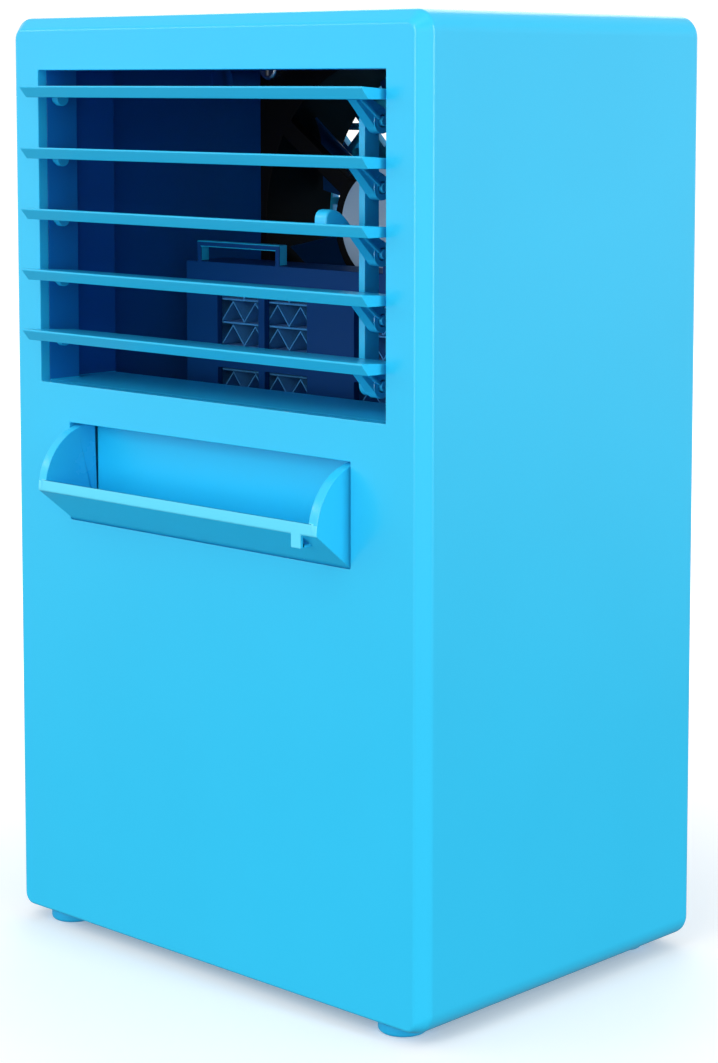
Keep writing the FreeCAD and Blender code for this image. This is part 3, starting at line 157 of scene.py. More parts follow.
def plate_x(name: str, outline: Sequence[tuple[float, float]], x0: float, x1: float) -> Object:
    """Adds a plate: a flat disc whose corners are moved to an outline, then extruded.

    Args:
        name: The piece's name.
        outline: Its (y, z) corners in order.
        x0: Where its first face lies.
        x1: Where its second face lies.

    Returns:
        The new piece, with its faces pointing outwards.
    """
    clear_selection()
    bpy.ops.mesh.primitive_circle_add(vertices=len(outline), radius=1.0, fill_type="NGON")
    piece = bpy.context.active_object
    piece.name = name
    ring = [piece.data.vertices[i] for i in piece.data.polygons[0].vertices]
    for corner, (y, z) in zip(ring, outline):
        corner.co = (x0, y, z)
    pick(piece, Pick.FACES)
    bpy.ops.mesh.extrude_region_move(TRANSFORM_OT_translate={"value": (x1 - x0, 0, 0)})
    bpy.ops.mesh.select_all(action="SELECT")
    bpy.ops.mesh.normals_make_consistent(inside=False)
    bpy.ops.object.mode_set(mode="OBJECT")
    return piece


def anywhere(corner: Vector) -> bool:
    """The test that every corner passes."""
    return True


def pick(piece: Object, what: Pick, test: Test = anywhere, link: Link | None = None) -> None:
    """Enters edit mode with what passes the tests selected.

    Args:
        piece: The piece to edit.
        what: Corners, edges or faces.
        test: Gets a corner's place; an edge or face is picked when all its corners pass.
        link: Gets the two ends of an edge that passed, for a test on the edge itself.
    """
    select_only(piece)
    bpy.ops.object.mode_set(mode="EDIT")
    bpy.ops.mesh.select_mode(type=what.value)
    bpy.ops.mesh.select_all(action="DESELECT")
    shape = bmesh.from_edit_mesh(piece.data)
    items = {Pick.CORNERS: shape.verts, Pick.EDGES: shape.edges, Pick.FACES: shape.faces}[what]
    for item in items:
        corners = [item] if what is Pick.CORNERS else item.verts
        passed = all(test(corner.co) for corner in corners)
        item.select_set(passed and (link is None or link(corners[0].co, corners[1].co)))
    shape.select_flush_mode()
    bmesh.update_edit_mesh(piece.data)


def shift_corners(piece: Object, test: Test, by: Sequence[float]) -> None:
    """Moves the corners that pass the test."""
    pick(piece, Pick.CORNERS, test)
    bpy.ops.transform.translate(value=by)
    bpy.ops.object.mode_set(mode="OBJECT")


def round_edges(piece: Object, test: Test, width: float, segments: int = 4) -> None:
    """Rounds the edges whose two ends pass the test.

    Args:
        piece: The piece to work on.
        test: Gets the place of an edge's end.
        width: The rounding's width.
        segments: The number of faces across it; one face makes a chamfer.
    """
    pick(piece, Pick.EDGES, test)
    bpy.ops.mesh.bevel(offset=width, segments=segments, profile=0.5, affect="EDGES", clamp_overlap=False)
    bpy.ops.object.mode_set(mode="OBJECT")


def slice_off(piece: Object, point: Sequence[float], normal: Sequence[float]) -> None:
    """Cuts off what lies on the normal's side of a plane, and closes the cut."""
    pick(piece, Pick.FACES)
    bpy.ops.mesh.bisect(plane_co=point, plane_no=normal, use_fill=True, clear_outer=True)
    bpy.ops.object.mode_set(mode="OBJECT")


def combine(piece: Object, tools: Sequence[Object], how: Join) -> Object:
    """Cuts tools away from a piece, joins them to it, or keeps what they share, and removes the tools.

    Args:
        piece: The piece to work on.
        tools: The pieces to work with.
        how: The kind of work.

    Returns:
        The piece.
    """
    for tool in tools:
        work = piece.modifiers.new("combine", "BOOLEAN")
        work.operation = how.value
        work.solver = "EXACT"
        work.object = tool
        select_only(piece)
        bpy.ops.object.modifier_apply(modifier=work.name)
        bpy.data.objects.remove(tool)
    return piece


def copies(piece: Object, places: Sequence[Vector]) -> list[Object]:
    """Copies a pattern made about the world's origin, each copy with its own mesh, and removes it."""
    made = []
    for number, place in enumerate(places):
        twin = piece.copy()
        twin.data = piece.data.copy()
        twin.name = f"{piece.name}_{number + 1}"
        bpy.context.scene.collection.objects.link(twin)
        twin.location = place
        made.append(settle(twin))
    bpy.data.objects.remove(piece)
    return made


def gather(pieces: Sequence[Object], name: str) -> Object:
    """Joins several pieces that stay separate shells into one object."""
    select_only(pieces[0])
    for piece in pieces[1:]:
        piece.select_set(True)
    bpy.ops.object.join()
    pieces[0].name = name
    return pieces[0]


def soften(piece: Object, width: float, segments: int = 2, angle: float = 30.0) -> Object:
    """Breaks every sharp edge a little and shades the piece as one moulding.

    Args:
        piece: The piece to work on.
        width: The width of the broken edges.
        segments: The number of faces across them.
        angle: Edges that turn by more than this many degrees are sharp.

    Returns:
        The piece.
    """
    pick(piece, Pick.FACES)
    bpy.ops.mesh.remove_doubles(threshold=0.003 * MM)
    bpy.ops.mesh.dissolve_limited(angle_limit=math.radians(0.3))
    bpy.ops.object.mode_set(mode="OBJECT")
    select_only(piece)
    edges = piece.modifiers.new("edges", "BEVEL")
    edges.width = width
    edges.segments = segments
    edges.limit_method = "ANGLE"
    edges.angle_limit = math.radians(angle)
    edges.use_clamp_overlap = False
    bpy.ops.object.modifier_apply(modifier=edges.name)
    return smooth(piece, angle)


def smooth(piece: Object, angle: float = 30.0) -> Object:
    """Shades round stretches smoothly and keeps flat faces flat."""
    select_only(piece)
    bpy.ops.object.shade_smooth_by_angle(angle=math.radians(angle))
    level = piece.modifiers.new("level", "WEIGHTED_NORMAL")
    level.keep_sharp = True
    level.weight = 90
    bpy.ops.object.modifier_apply(modifier=level.name)
    return piece


def bare_copy(node: str, name: str) -> Object:
    """Copies a frame node's mesh and merges its triangles into whole faces."""
    source = frame["nodes"][node]
    piece = bpy.data.objects.new(name, source.data.copy())
    bpy.context.scene.collection.objects.link(piece)
    pick(piece, Pick.FACES)
    bpy.ops.mesh.remove_doubles(threshold=0.002 * MM)
    bpy.ops.mesh.customdata_custom_splitnormals_clear()
    bpy.ops.mesh.dissolve_limited(angle_limit=math.radians(0.4))
    bpy.ops.object.mode_set(mode="OBJECT")
    return piece


def softened_copy(node: str, name: str, width: float, segments: int = 1) -> Object:
    """Copies a frame node's mesh, merges it and breaks its sharp edges.

    Args:
        node: The frame node to start from.
        name: The new piece's name.
        width: The width of the broken edges.
        segments: The number of faces across them.

    Returns:
        The new piece.
    """
    return soften(bare_copy(node, name), width, segments, 32.0)


# ---- finishes ------------------------------------------------------------------------------
class NodeBench:
    """Lays out the nodes of one material."""

    def __init__(self, name: str) -> None:
        """Starts a material with one principled shader."""
        self.material: Material = bpy.data.materials.new(name)
        self.material.use_nodes = True
        self.tree = self.material.node_tree
        self.shader: Node = self.tree.nodes["Principled BSDF"]
        self.coords: NodeSocket = self.add("ShaderNodeTexCoord").outputs["Object"]

    def add(self, kind: str, **settings: object) -> Node:
        """Adds a node and sets its properties."""
        node = self.tree.nodes.new(kind)
        for key, value in settings.items():
            setattr(node, key, value)
        return node

    def link(self, source: NodeSocket, target: NodeSocket) -> None:
        """Links two sockets."""
        self.tree.links.new(source, target)

    def set(self, **values: object) -> None:
        """Sets constants on the shader's own sockets, named with underscores for spaces."""
        for key, value in values.items():
            self.shader.inputs[key.replace("_", " ")].default_value = value

    def stretched(self, scale: Sequence[float]) -> NodeSocket:
        """The object coordinates, stretched along each axis."""
        mapping = self.add("ShaderNodeMapping")
        mapping.inputs["Scale"].default_value = scale
        self.link(self.coords, mapping.inputs["Vector"])
        return mapping.outputs["Vector"]

    def noise(self, scale: float, detail: float = 3.0, where: NodeSocket | None = None) -> NodeSocket:
        """A noise value; scale is in features a metre."""
        node = self.add("ShaderNodeTexNoise")
        node.inputs["Scale"].default_value = scale
        node.inputs["Detail"].default_value = detail
        self.link(where or self.coords, node.inputs["Vector"])
        return node.outputs["Fac"]

    def cells(self, scale: float, where: NodeSocket | None = None) -> NodeSocket:
        """The distance inside cells; scale is in cells a metre."""
        node = self.add("ShaderNodeTexVoronoi")
        node.inputs["Scale"].default_value = scale
        self.link(where or self.coords, node.inputs["Vector"])
        return node.outputs["Distance"]

    def bands(self, scale: float, direction: str, distortion: float = 0.0) -> NodeSocket:
        """A wave value in bands along one direction; scale is in bands a metre."""
        node = self.add("ShaderNodeTexWave", bands_direction=direction)
        node.inputs["Scale"].default_value = scale * math.pi / 10
        node.inputs["Distortion"].default_value = distortion
        self.link(self.coords, node.inputs["Vector"])
        return node.outputs["Fac"]

    def spread(self, value: NodeSocket, low: float, high: float,
               cut: tuple[float, float] = (0.1, 0.9)) -> NodeSocket:
        """Maps a value's middle stretch onto a range."""
        node = self.add("ShaderNodeMapRange")
        for key, number in zip(("From Min", "From Max", "To Min", "To Max"), (*cut, low, high)):
            node.inputs[key].default_value = number
        self.link(value, node.inputs["Value"])
        return node.outputs["Result"]

    def tint(self, factor: NodeSocket, first: Sequence[float], second: Sequence[float]) -> NodeSocket:
        """Mixes two colours."""
        node = self.add("ShaderNodeMix", data_type="RGBA")
        node.inputs[6].default_value = (*first, 1.0)
        node.inputs[7].default_value = (*second, 1.0)
        self.link(factor, node.inputs[0])
        return node.outputs[2]

    def relief(self, height: NodeSocket, strength: float, depth: float) -> None:
        """Adds a bump on top of the bumps that the shader already has."""
        node = self.add("ShaderNodeBump")
        node.inputs["Strength"].default_value = strength
        node.inputs["Distance"].default_value = depth
        self.link(height, node.inputs["Height"])
        normal = self.shader.inputs["Normal"]
        if normal.is_linked:
            self.link(normal.links[0].from_socket, node.inputs["Normal"])
        self.link(node.outputs["Normal"], normal)

    def paint(self, colour: NodeSocket, roughness: NodeSocket) -> None:
        """Links colour and roughness to the shader."""
        self.link(colour, self.shader.inputs["Base Color"])
        self.link(roughness, self.shader.inputs["Roughness"])


def shade(colour: Sequence[float], by: float) -> tuple[float, float, float]:
    """A colour made lighter or darker by a factor."""
    return tuple(min(1.0, part * by) for part in colour)


@dataclass(frozen=True)
class Finish:
    """A finish: a colour that varies a little, a roughness that varies a little, and a fine grain.

    Attributes:
        name: The material's name.
        colour: Its linear colour.
        roughness: The middle of its roughness.
        vary: How much the colour varies, as a share.
        grain: The grain's features a metre.
        grain_depth: The grain's height.
    """

    name: str
    colour: tuple[float, float, float]
    roughness: float = 0.4
    vary: float = 0.04
    grain: float = 2600.0
    grain_depth: float = 0.01 * MM

    def material(self) -> Material:
        """The finish's material, made once."""
        found = bpy.data.materials.get(self.name)
        if found:
            return found
        bench = NodeBench(self.name)
        self.lay_out(bench)
        return bench.material

    def lay_out(self, bench: NodeBench) -> None:
        """Lays out the nodes: drifting colour, drifting gloss, fine grain."""
        drift = bench.spread(bench.noise(14.0, 4.0), 0.0, 1.0)
        colour = bench.tint(drift, shade(self.colour, 1 - self.vary), shade(self.colour, 1 + self.vary))
        gloss = bench.spread(bench.noise(60.0, 5.0), self.roughness * 0.9, self.roughness * 1.12)
        bench.paint(colour, gloss)
        bench.relief(bench.noise(self.grain, 2.0), 0.25, self.grain_depth)


@dataclass(frozen=True)
class MouldedPlastic(Finish):
    """Injection-moulded plastic: spark-eroded grain under a slow waviness left by the mould.

    Attributes:
        gloss: How strongly it mirrors, from 0 to 1.
    """

    gloss: float = 0.45

    def lay_out(self, bench: NodeBench) -> None:
        """Adds the mould's waviness to the plain finish and sets its gloss."""
        super().lay_out(bench)
        bench.set(IOR=1.5, Specular_IOR_Level=self.gloss)
        bench.relief(bench.noise(38.0, 1.0), 0.1, 0.05 * MM)


@dataclass(frozen=True)
class MilkyPlastic(Finish):
    """Unfilled polypropylene that lets some light through."""

    def lay_out(self, bench: NodeBench) -> None:
        """Adds translucency to the plain finish."""
        super().lay_out(bench)
        bench.set(IOR=1.49, Transmission_Weight=0.35, Subsurface_Weight=0.25, Subsurface_Scale=4 * MM)


@dataclass(frozen=True)
class Metal(Finish):
    """Bare or plated metal with fine drawn lines."""

    lines: tuple[float, float, float] = (1.0, 12.0, 1.0)

    def lay_out(self, bench: NodeBench) -> None:
        """Adds drawn lines to the plain finish."""
        super().lay_out(bench)
        bench.set(Metallic=1.0)
        bench.relief(bench.noise(900.0, 3.0, bench.stretched(self.lines)), 0.2, 0.01 * MM)


@dataclass(frozen=True)
class WoundWire(Metal):
    """Enamelled copper wire in close turns."""

    turns: float = 2400.0

    def lay_out(self, bench: NodeBench) -> None:
        """Adds the turns of the wire."""
        super().lay_out(bench)
        bench.set(Coat_Weight=0.6, Coat_Roughness=0.15)
        bench.relief(bench.bands(self.turns, "Y"), 0.8, 0.1 * MM)


@dataclass(frozen=True)
class Laminate(Finish):
    """A circuit board under green lacquer, with its tracks showing as a faint relief."""

    def lay_out(self, bench: NodeBench) -> None:
        """Adds tracks and pads."""
        tracks = bench.add("ShaderNodeTexBrick")
        tracks.inputs["Scale"].default_value = 260.0
        tracks.inputs["Mortar Size"].default_value = 0.04
        bench.link(bench.coords, tracks.inputs["Vector"])
        colour = bench.tint(tracks.outputs["Fac"], self.colour, shade(self.colour, 2.4))
        bench.paint(colour, bench.spread(bench.noise(300.0), 0.25, 0.4))
        bench.relief(tracks.outputs["Fac"], 0.3, 0.03 * MM)
        bench.set(Coat_Weight=0.5, Coat_Roughness=0.1)


@dataclass(frozen=True)
class WickPaper(Finish):
    """Thick absorbent paper: fibres, and a few darker flecks."""

    def lay_out(self, bench: NodeBench) -> None:
        """Adds fibres and flecks."""
        fibres = bench.noise(1400.0, 6.0, bench.stretched((1.0, 1.0, 0.12)))
        flecks = bench.spread(bench.cells(420.0), 1.0, 0.0, (0.05, 0.16))
        base = bench.tint(bench.spread(fibres, 0.0, 1.0), shade(self.colour, 0.86), self.colour)
        mix = bench.add("ShaderNodeMix", data_type="RGBA")
        mix.inputs[7].default_value = (*shade(self.colour, 0.7), 1.0)
        bench.link(base, mix.inputs[6])
        bench.link(flecks, mix.inputs[0])
        bench.paint(mix.outputs[2], bench.spread(fibres, 0.8, 0.95))
        bench.relief(fibres, 0.6, 0.08 * MM)
        bench.set(Sheen_Weight=0.04, Specular_IOR_Level=0.2)


SKY_BLUE = MouldedPlastic("sky_blue_case", (0.026, 0.575, 0.92), 0.25, 0.03, 2600.0, 0.008 * MM)
FLAP_BLUE = MouldedPlastic("sky_blue_flap", (0.028, 0.60, 0.95), 0.26, 0.03, 2600.0, 0.008 * MM)
# Painted shade: a darker copy of the case blue for the duct behind the outlet, standing in for the shade
# there.
INNER_SHADE_BLUE = MouldedPlastic("sky_blue_inner_painted_shade", (0.002, 0.20, 0.58), 0.42, 0.04, 2200.0, 0.02 * MM)
# Painted deep shade: a still darker copy of the case blue for the case's inner faces and the back of the
# duct.
DEEP_SHADE_BLUE = MouldedPlastic("sky_blue_inside_painted_deep_shade", (0.001, 0.11, 0.45), 0.5, 0.04, 2200.0, 0.02 * MM, 0.3)
CHUTE_BLUE = MouldedPlastic("sky_blue_pocket", (0.008, 0.56, 0.90), 0.40, 0.03, 2200.0, 0.02 * MM)
# Painted light: a lighter copy of the case blue for the duct's sill, standing in for the light that falls on
# it through the slats.
SILL_LIGHT_BLUE = MouldedPlastic("sky_blue_sill_painted_light", (0.02, 0.62, 1.0), 0.35, 0.03, 2200.0, 0.02 * MM)
# Painted highlight: a lighter copy of the flap blue for the lip's upright face.
LIP_HIGHLIGHT_BLUE = MouldedPlastic("sky_blue_lip_painted_highlight", (0.12, 0.74, 1.0), 0.30, 0.02, 2600.0, 0.008 * MM)
# Painted shade: the cassette and pad grid are sky-blue plastic painted dark navy for the shade inside the
# case.
CASSETTE_SHADE_BLUE = MouldedPlastic("sky_blue_cassette_painted_shade", (0.0005, 0.055, 0.22), 0.5, 0.06, 2200.0, 0.02 * MM,
                               0.15)
FOOT_BLUE = MouldedPlastic("sky_blue_foot", (0.006, 0.44, 0.80), 0.5, 0.03, 1800.0, 0.03 * MM)
FAN_BLACK = MouldedPlastic("fan_black", (0.0015, 0.0015, 0.002), 0.5, 0.1, 1800.0, 0.03 * MM, 0.12)
# Painted light: the black blades are lifted to dark navy, standing in for the blue light they catch inside
# the case.
BLADE_BLACK = MouldedPlastic("fan_blade_black", (0.002, 0.035, 0.13), 0.30, 0.1, 1800.0, 0.02 * MM, 0.5)
SWITCH_BLACK = MouldedPlastic("switch_black", (0.02, 0.02, 0.022), 0.5, 0.1, 2200.0, 0.02 * MM)
LEAD_BLACK = MouldedPlastic("lead_sheath", (0.018, 0.018, 0.018), 0.6, 0.1, 1500.0, 0.03 * MM)
TANK_WHITE = MilkyPlastic("tank_milky", (0.82, 0.88, 0.92), 0.4, 0.02, 1500.0, 0.02 * MM)
# Painted shade: the white wick paper is coloured dark blue, standing in for the blue shade it sits in inside
# the case; its fibres and flecks are its own.
PAPER = WickPaper("wick_paper_fibres_painted_shade", (0.06, 0.34, 0.72), 0.9, 0.1)
STICKER = Finish("hub_sticker_paper", (0.40, 0.56, 0.72), 0.42, 0.03, 3000.0, 0.01 * MM)
ZINC = Metal("zinc_plate", (0.62, 0.63, 0.64), 0.28, 0.06, 1600.0, 0.01 * MM)
MOTOR_IRON = Metal("motor_iron", (0.42, 0.42, 0.43), 0.34, 0.08, 1200.0, 0.02 * MM, (1.0, 30.0, 1.0))
FERRITE = Finish("ferrite_ring", (0.05, 0.047, 0.045), 0.62, 0.15, 1100.0, 0.04 * MM)
BRONZE = Metal("sintered_bronze", (0.55, 0.33, 0.14), 0.45, 0.12, 3000.0, 0.05 * MM)
COPPER = WoundWire("copper_windings", (0.72, 0.25, 0.08), 0.3, 0.05)
BOARD_GREEN = Laminate("board_lacquer", (0.01, 0.10, 0.035), 0.35)
CONTACT = Metal("contact_plate", (0.80, 0.74, 0.55), 0.22, 0.05)

CARRIED_OVER = {
    "rear_cover": SKY_BLUE, "pad_grid": CASSETTE_SHADE_BLUE, "fan_impeller": BLADE_BLACK, "water_tank": TANK_WHITE,
    "louvre_screws": ZINC, "chute_screws": ZINC,
    "board_screws": ZINC, "rotor_yoke": MOTOR_IRON, "rotor_shaft": MOTOR_IRON, "shaft_clip": MOTOR_IRON,
    "stator_core": MOTOR_IRON, "stator_coils": COPPER, "magnet_ring": FERRITE, "shaft_bearing": BRONZE,
    "motor_board": BOARD_GREEN, "control_board": BOARD_GREEN, "speed_switch": SWITCH_BLACK,
    "jack_pin": CONTACT, "switch_shaft": MOTOR_IRON, "fan_lead": LEAD_BLACK,
    "fan_screws": ZINC,
}


def dress(piece: Object, finish: Finish, body: str, slot: str, *nodes: str) -> Object:
    """Gives a finished piece its material, its body and the nodes that it stands for.

    Args:
        piece: The piece, in place.
        finish: Its finish.
        body: The body that it moves with.
        slot: The record's material slot; not used.
        nodes: The frame nodes that it replaces.

    Returns:
        The piece.
    """
    piece.data.materials.clear()
    piece.data.materials.append(finish.material())
    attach(piece, body)
    if nodes:
        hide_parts(*nodes)
    LOG.info("%s: %d faces, %s, rides on %s", piece.name, len(piece.data.polygons), finish.name, body)
    return piece


def repaint(piece: Object, finish: Finish, test: Test) -> None:
    """Gives a second finish to the faces whose corners all pass the test."""
    piece.data.materials.append(finish.material())
    number = len(piece.data.materials) - 1
    corners = piece.data.vertices
    for face in piece.data.polygons:
        if all(test(corners[i].co) for i in face.vertices):
            face.material_index = number


def hold_inside(piece: Object, node: str) -> Object:
    """Keeps a piece's corners inside its frame node's box."""
    low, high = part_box(node)
    for corner in piece.data.vertices:
        corner.co = [min(max(c, a), b) for c, a, b in zip(corner.co, low, high)]
    return piece


# ---- case ----------------------------------------------------------------------------------
@dataclass
class FillOpening:
    """The water-fill opening and the open flap's slope, shared by the case and the flap.

    Attributes:
        side: Case side to the opening.
        height: The opening's height.
        below_top: Case top to the opening's upper edge.
        slope: The open flap's angle from the vertical.
        gap: Running gap round the flap.
    """

    side: float = 23.2 * MM
    height: float = 24.8 * MM
    below_top: float = 104.2 * MM
    slope: float = math.radians(52.0)
    gap: float = 0.3 * MM

    def __post_init__(self) -> None:
        """Works the opening's places out from the case."""
        low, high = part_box("front_casing")
        self.front = low.y
        self.half_width = high.x - self.side
        self.top = high.z - self.below_top
        self.bottom = self.top - self.height

    def on_slope(self, along: float, off: float) -> tuple[float, float]:
        """A (y, z) point on the flap's outer face: along it from the front plane, and off it outwards."""
        sin, cos = math.sin(self.slope), math.cos(self.slope)
        return self.front - along * sin - off * cos, self.bottom + along * cos - off * sin


@dataclass
class CaseShell:
    """The case: one tall moulding with chamfered front, open back, outlet and fill openings."""

    wall: float = 2.5 * MM
    front_wall: float = 3.0 * MM
    corner: float = 5.5 * MM
    chamfer: float = 3.0 * MM
    chamfer_bottom: float = 1.0 * MM
    chamfer_softness: float = 0.6 * MM
    rim_round: float = 2.0 * MM
    edge: float = 0.3 * MM
    outlet_side: float = 12.0 * MM
    outlet_top: float = 13.5 * MM
    outlet_height: float = 80.8 * MM
    boss_radius: float = 4.0 * MM
    boss_length: float = 25.0 * MM
    cover_setback: float = 7.5 * MM
    screw_head: float = 2.8 * MM
    rib_share: float = 0.6
    fill: FillOpening = field(default_factory=FillOpening)

    def __post_init__(self) -> None:
        """Reads the case's corners from the frame."""
        self.low, self.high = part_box("front_casing")

    def outer(self) -> Object:
        """The solid outer body with its rounded and chamfered edges."""
        low, high = self.low, self.high
        start = low.y + self.chamfer
        body = block("case_shell", (low.x, start, low.z), high)
        pick(body, Pick.EDGES, link=lambda a, b: abs(a.y - b.y) > self.corner)
        bpy.ops.mesh.bevel(offset=self.corner, segments=10, profile=0.5, affect="EDGES")
        bpy.ops.object.mode_set(mode="OBJECT")
        pick(body, Pick.FACES, lambda p: p.y < start + NEAR)
        bpy.ops.mesh.inset(thickness=self.chamfer, depth=self.chamfer)
        bpy.ops.object.mode_set(mode="OBJECT")
        drop = self.chamfer - self.chamfer_bottom
        shift_corners(body, lambda p: p.y < low.y + NEAR and p.z < low.z + 2 * self.corner, (0, 0, -drop))
        round_edges(body, lambda p: p.y > high.y - NEAR, self.rim_round, 5)
        pick(body, Pick.EDGES, lambda p: p.y < start + NEAR, lambda a, b: abs(a.y - b.y) < NEAR)
        bpy.ops.mesh.bevel(offset=self.chamfer_softness, segments=4, profile=0.5, affect="EDGES")
        bpy.ops.object.mode_set(mode="OBJECT")
        return body

    def hollow(self, less: float = 0.0) -> Object:
        """The inside as a solid, made smaller all round by less."""
        low, high = self.low, self.high
        gap = self.wall + less
        cutter = block("hollow", (low.x + gap, low.y + self.front_wall + less, low.z + gap),
                       (high.x - gap, high.y + self.wall, high.z - gap))
        pick(cutter, Pick.EDGES, link=lambda a, b: abs(a.y - b.y) > self.corner)
        bpy.ops.mesh.bevel(offset=self.corner - gap, segments=6, profile=0.5, affect="EDGES")
        bpy.ops.object.mode_set(mode="OBJECT")
        return cutter

    def openings(self) -> list[Object]:
        """The cutters for the outlet and for the fill opening with its slanted sill."""
        low, high, fill = self.low, self.high, self.fill
        before, behind = low.y - self.wall, low.y + self.front_wall + self.wall / 2
        half = high.x - self.outlet_side
        top = high.z - self.outlet_top
        outlet = block("outlet", (-half, before, top - self.outlet_height), (half, behind, top))
        pour = block("pour", (-fill.half_width, before, fill.bottom - 2 * self.front_wall),
                     (fill.half_width, behind, fill.top))
        y, z = fill.on_slope(0, fill.gap)
        slice_off(pour, (0, y, z), (0, -math.cos(fill.slope), -math.sin(fill.slope)))
        return [outlet, pour]

    def bosses(self) -> list[Object]:
        """The screw bosses of the rear cover, with their ribs."""
        screws_low, screws_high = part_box("cover_screws")
        x = screws_high.x - self.screw_head
        lowest, highest = screws_low.z + self.screw_head, screws_high.z - self.screw_head
        face = self.high.y - self.cover_setback
        made = []
        for side in (-1, 1):
            for z in (lowest, (lowest + highest) / 2, highest):
                made.append(rod("boss", Axis.Y, self.boss_radius, (side * x, face - self.boss_length, z),
                                self.boss_length, 32))
                ends = sorted((side * x, side * (self.high.x - self.wall / 2)))
                rib = self.rib_share * self.boss_radius
                made.append(block("rib", (ends[0], face - self.boss_length, z - rib),
                                  (ends[1], face, z + rib)))
        return made

    def build(self) -> None:
        """Builds and dresses the case."""
        body = combine(self.outer(), [self.hollow(), *self.openings()], Join.AWAY)
        combine(body, self.bosses(), Join.TOGETHER)
        soften(body, self.edge)
        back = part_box("rear_cover")[1].y
        pick(body, Pick.FACES)
        bpy.ops.mesh.bisect(plane_co=(0, back, 0), plane_no=(0, 1, 0))
        bpy.ops.object.mode_set(mode="OBJECT")
        smooth(body)
        rails = combine(bare_copy("front_casing", "rails"), [self.hollow(NEAR)], Join.COMMON)
        hold_inside(gather([body, smooth(rails)], "case_shell"), "front_casing")
        dress(body, SKY_BLUE, "case", "case_plastic", "front_casing")
        side, front = self.high.x - self.wall + NEAR, self.low.y + self.front_wall - NEAR
        floor, roof = self.low.z + self.wall - NEAR, self.high.z - self.wall + NEAR
        # Painted shade: the case's inner faces get the deep-shade blue, standing in for the shade inside the
        # case.
        repaint(body, DEEP_SHADE_BLUE,
                lambda p: abs(p.x) < side and front < p.y < back + NEAR and floor < p.z < roof)


@dataclass
class Feet:
    """Four round feet with a stem that plugs into the case's floor."""

    radius: float = 6.0 * MM
    stem_radius: float = 2.5 * MM
    edge: float = 0.9 * MM
    fine_edge: float = 0.15 * MM

    def build(self) -> None:
        """Builds the four feet as one piece of four shells."""
        low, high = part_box("feet")
        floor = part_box("front_casing")[0].z
        foot = rod("foot", Axis.Z, self.radius, (0, 0, 0), floor, 64)
        round_edges(foot, lambda p: p.z < NEAR, self.edge, 3)
        stem = rod("stem", Axis.Z, self.stem_radius, (0, 0, floor / 2), high.z - floor / 2, 32)
        combine(foot, [stem], Join.TOGETHER)
        soften(foot, self.fine_edge)
        places = [Vector((x, y, 0)) for x in (low.x + self.radius, high.x - self.radius)
                  for y in (low.y + self.radius, high.y - self.radius)]
        dress(gather(copies(foot, places), "feet_pads"), FOOT_BLUE, "case", "foot_pad", "feet")


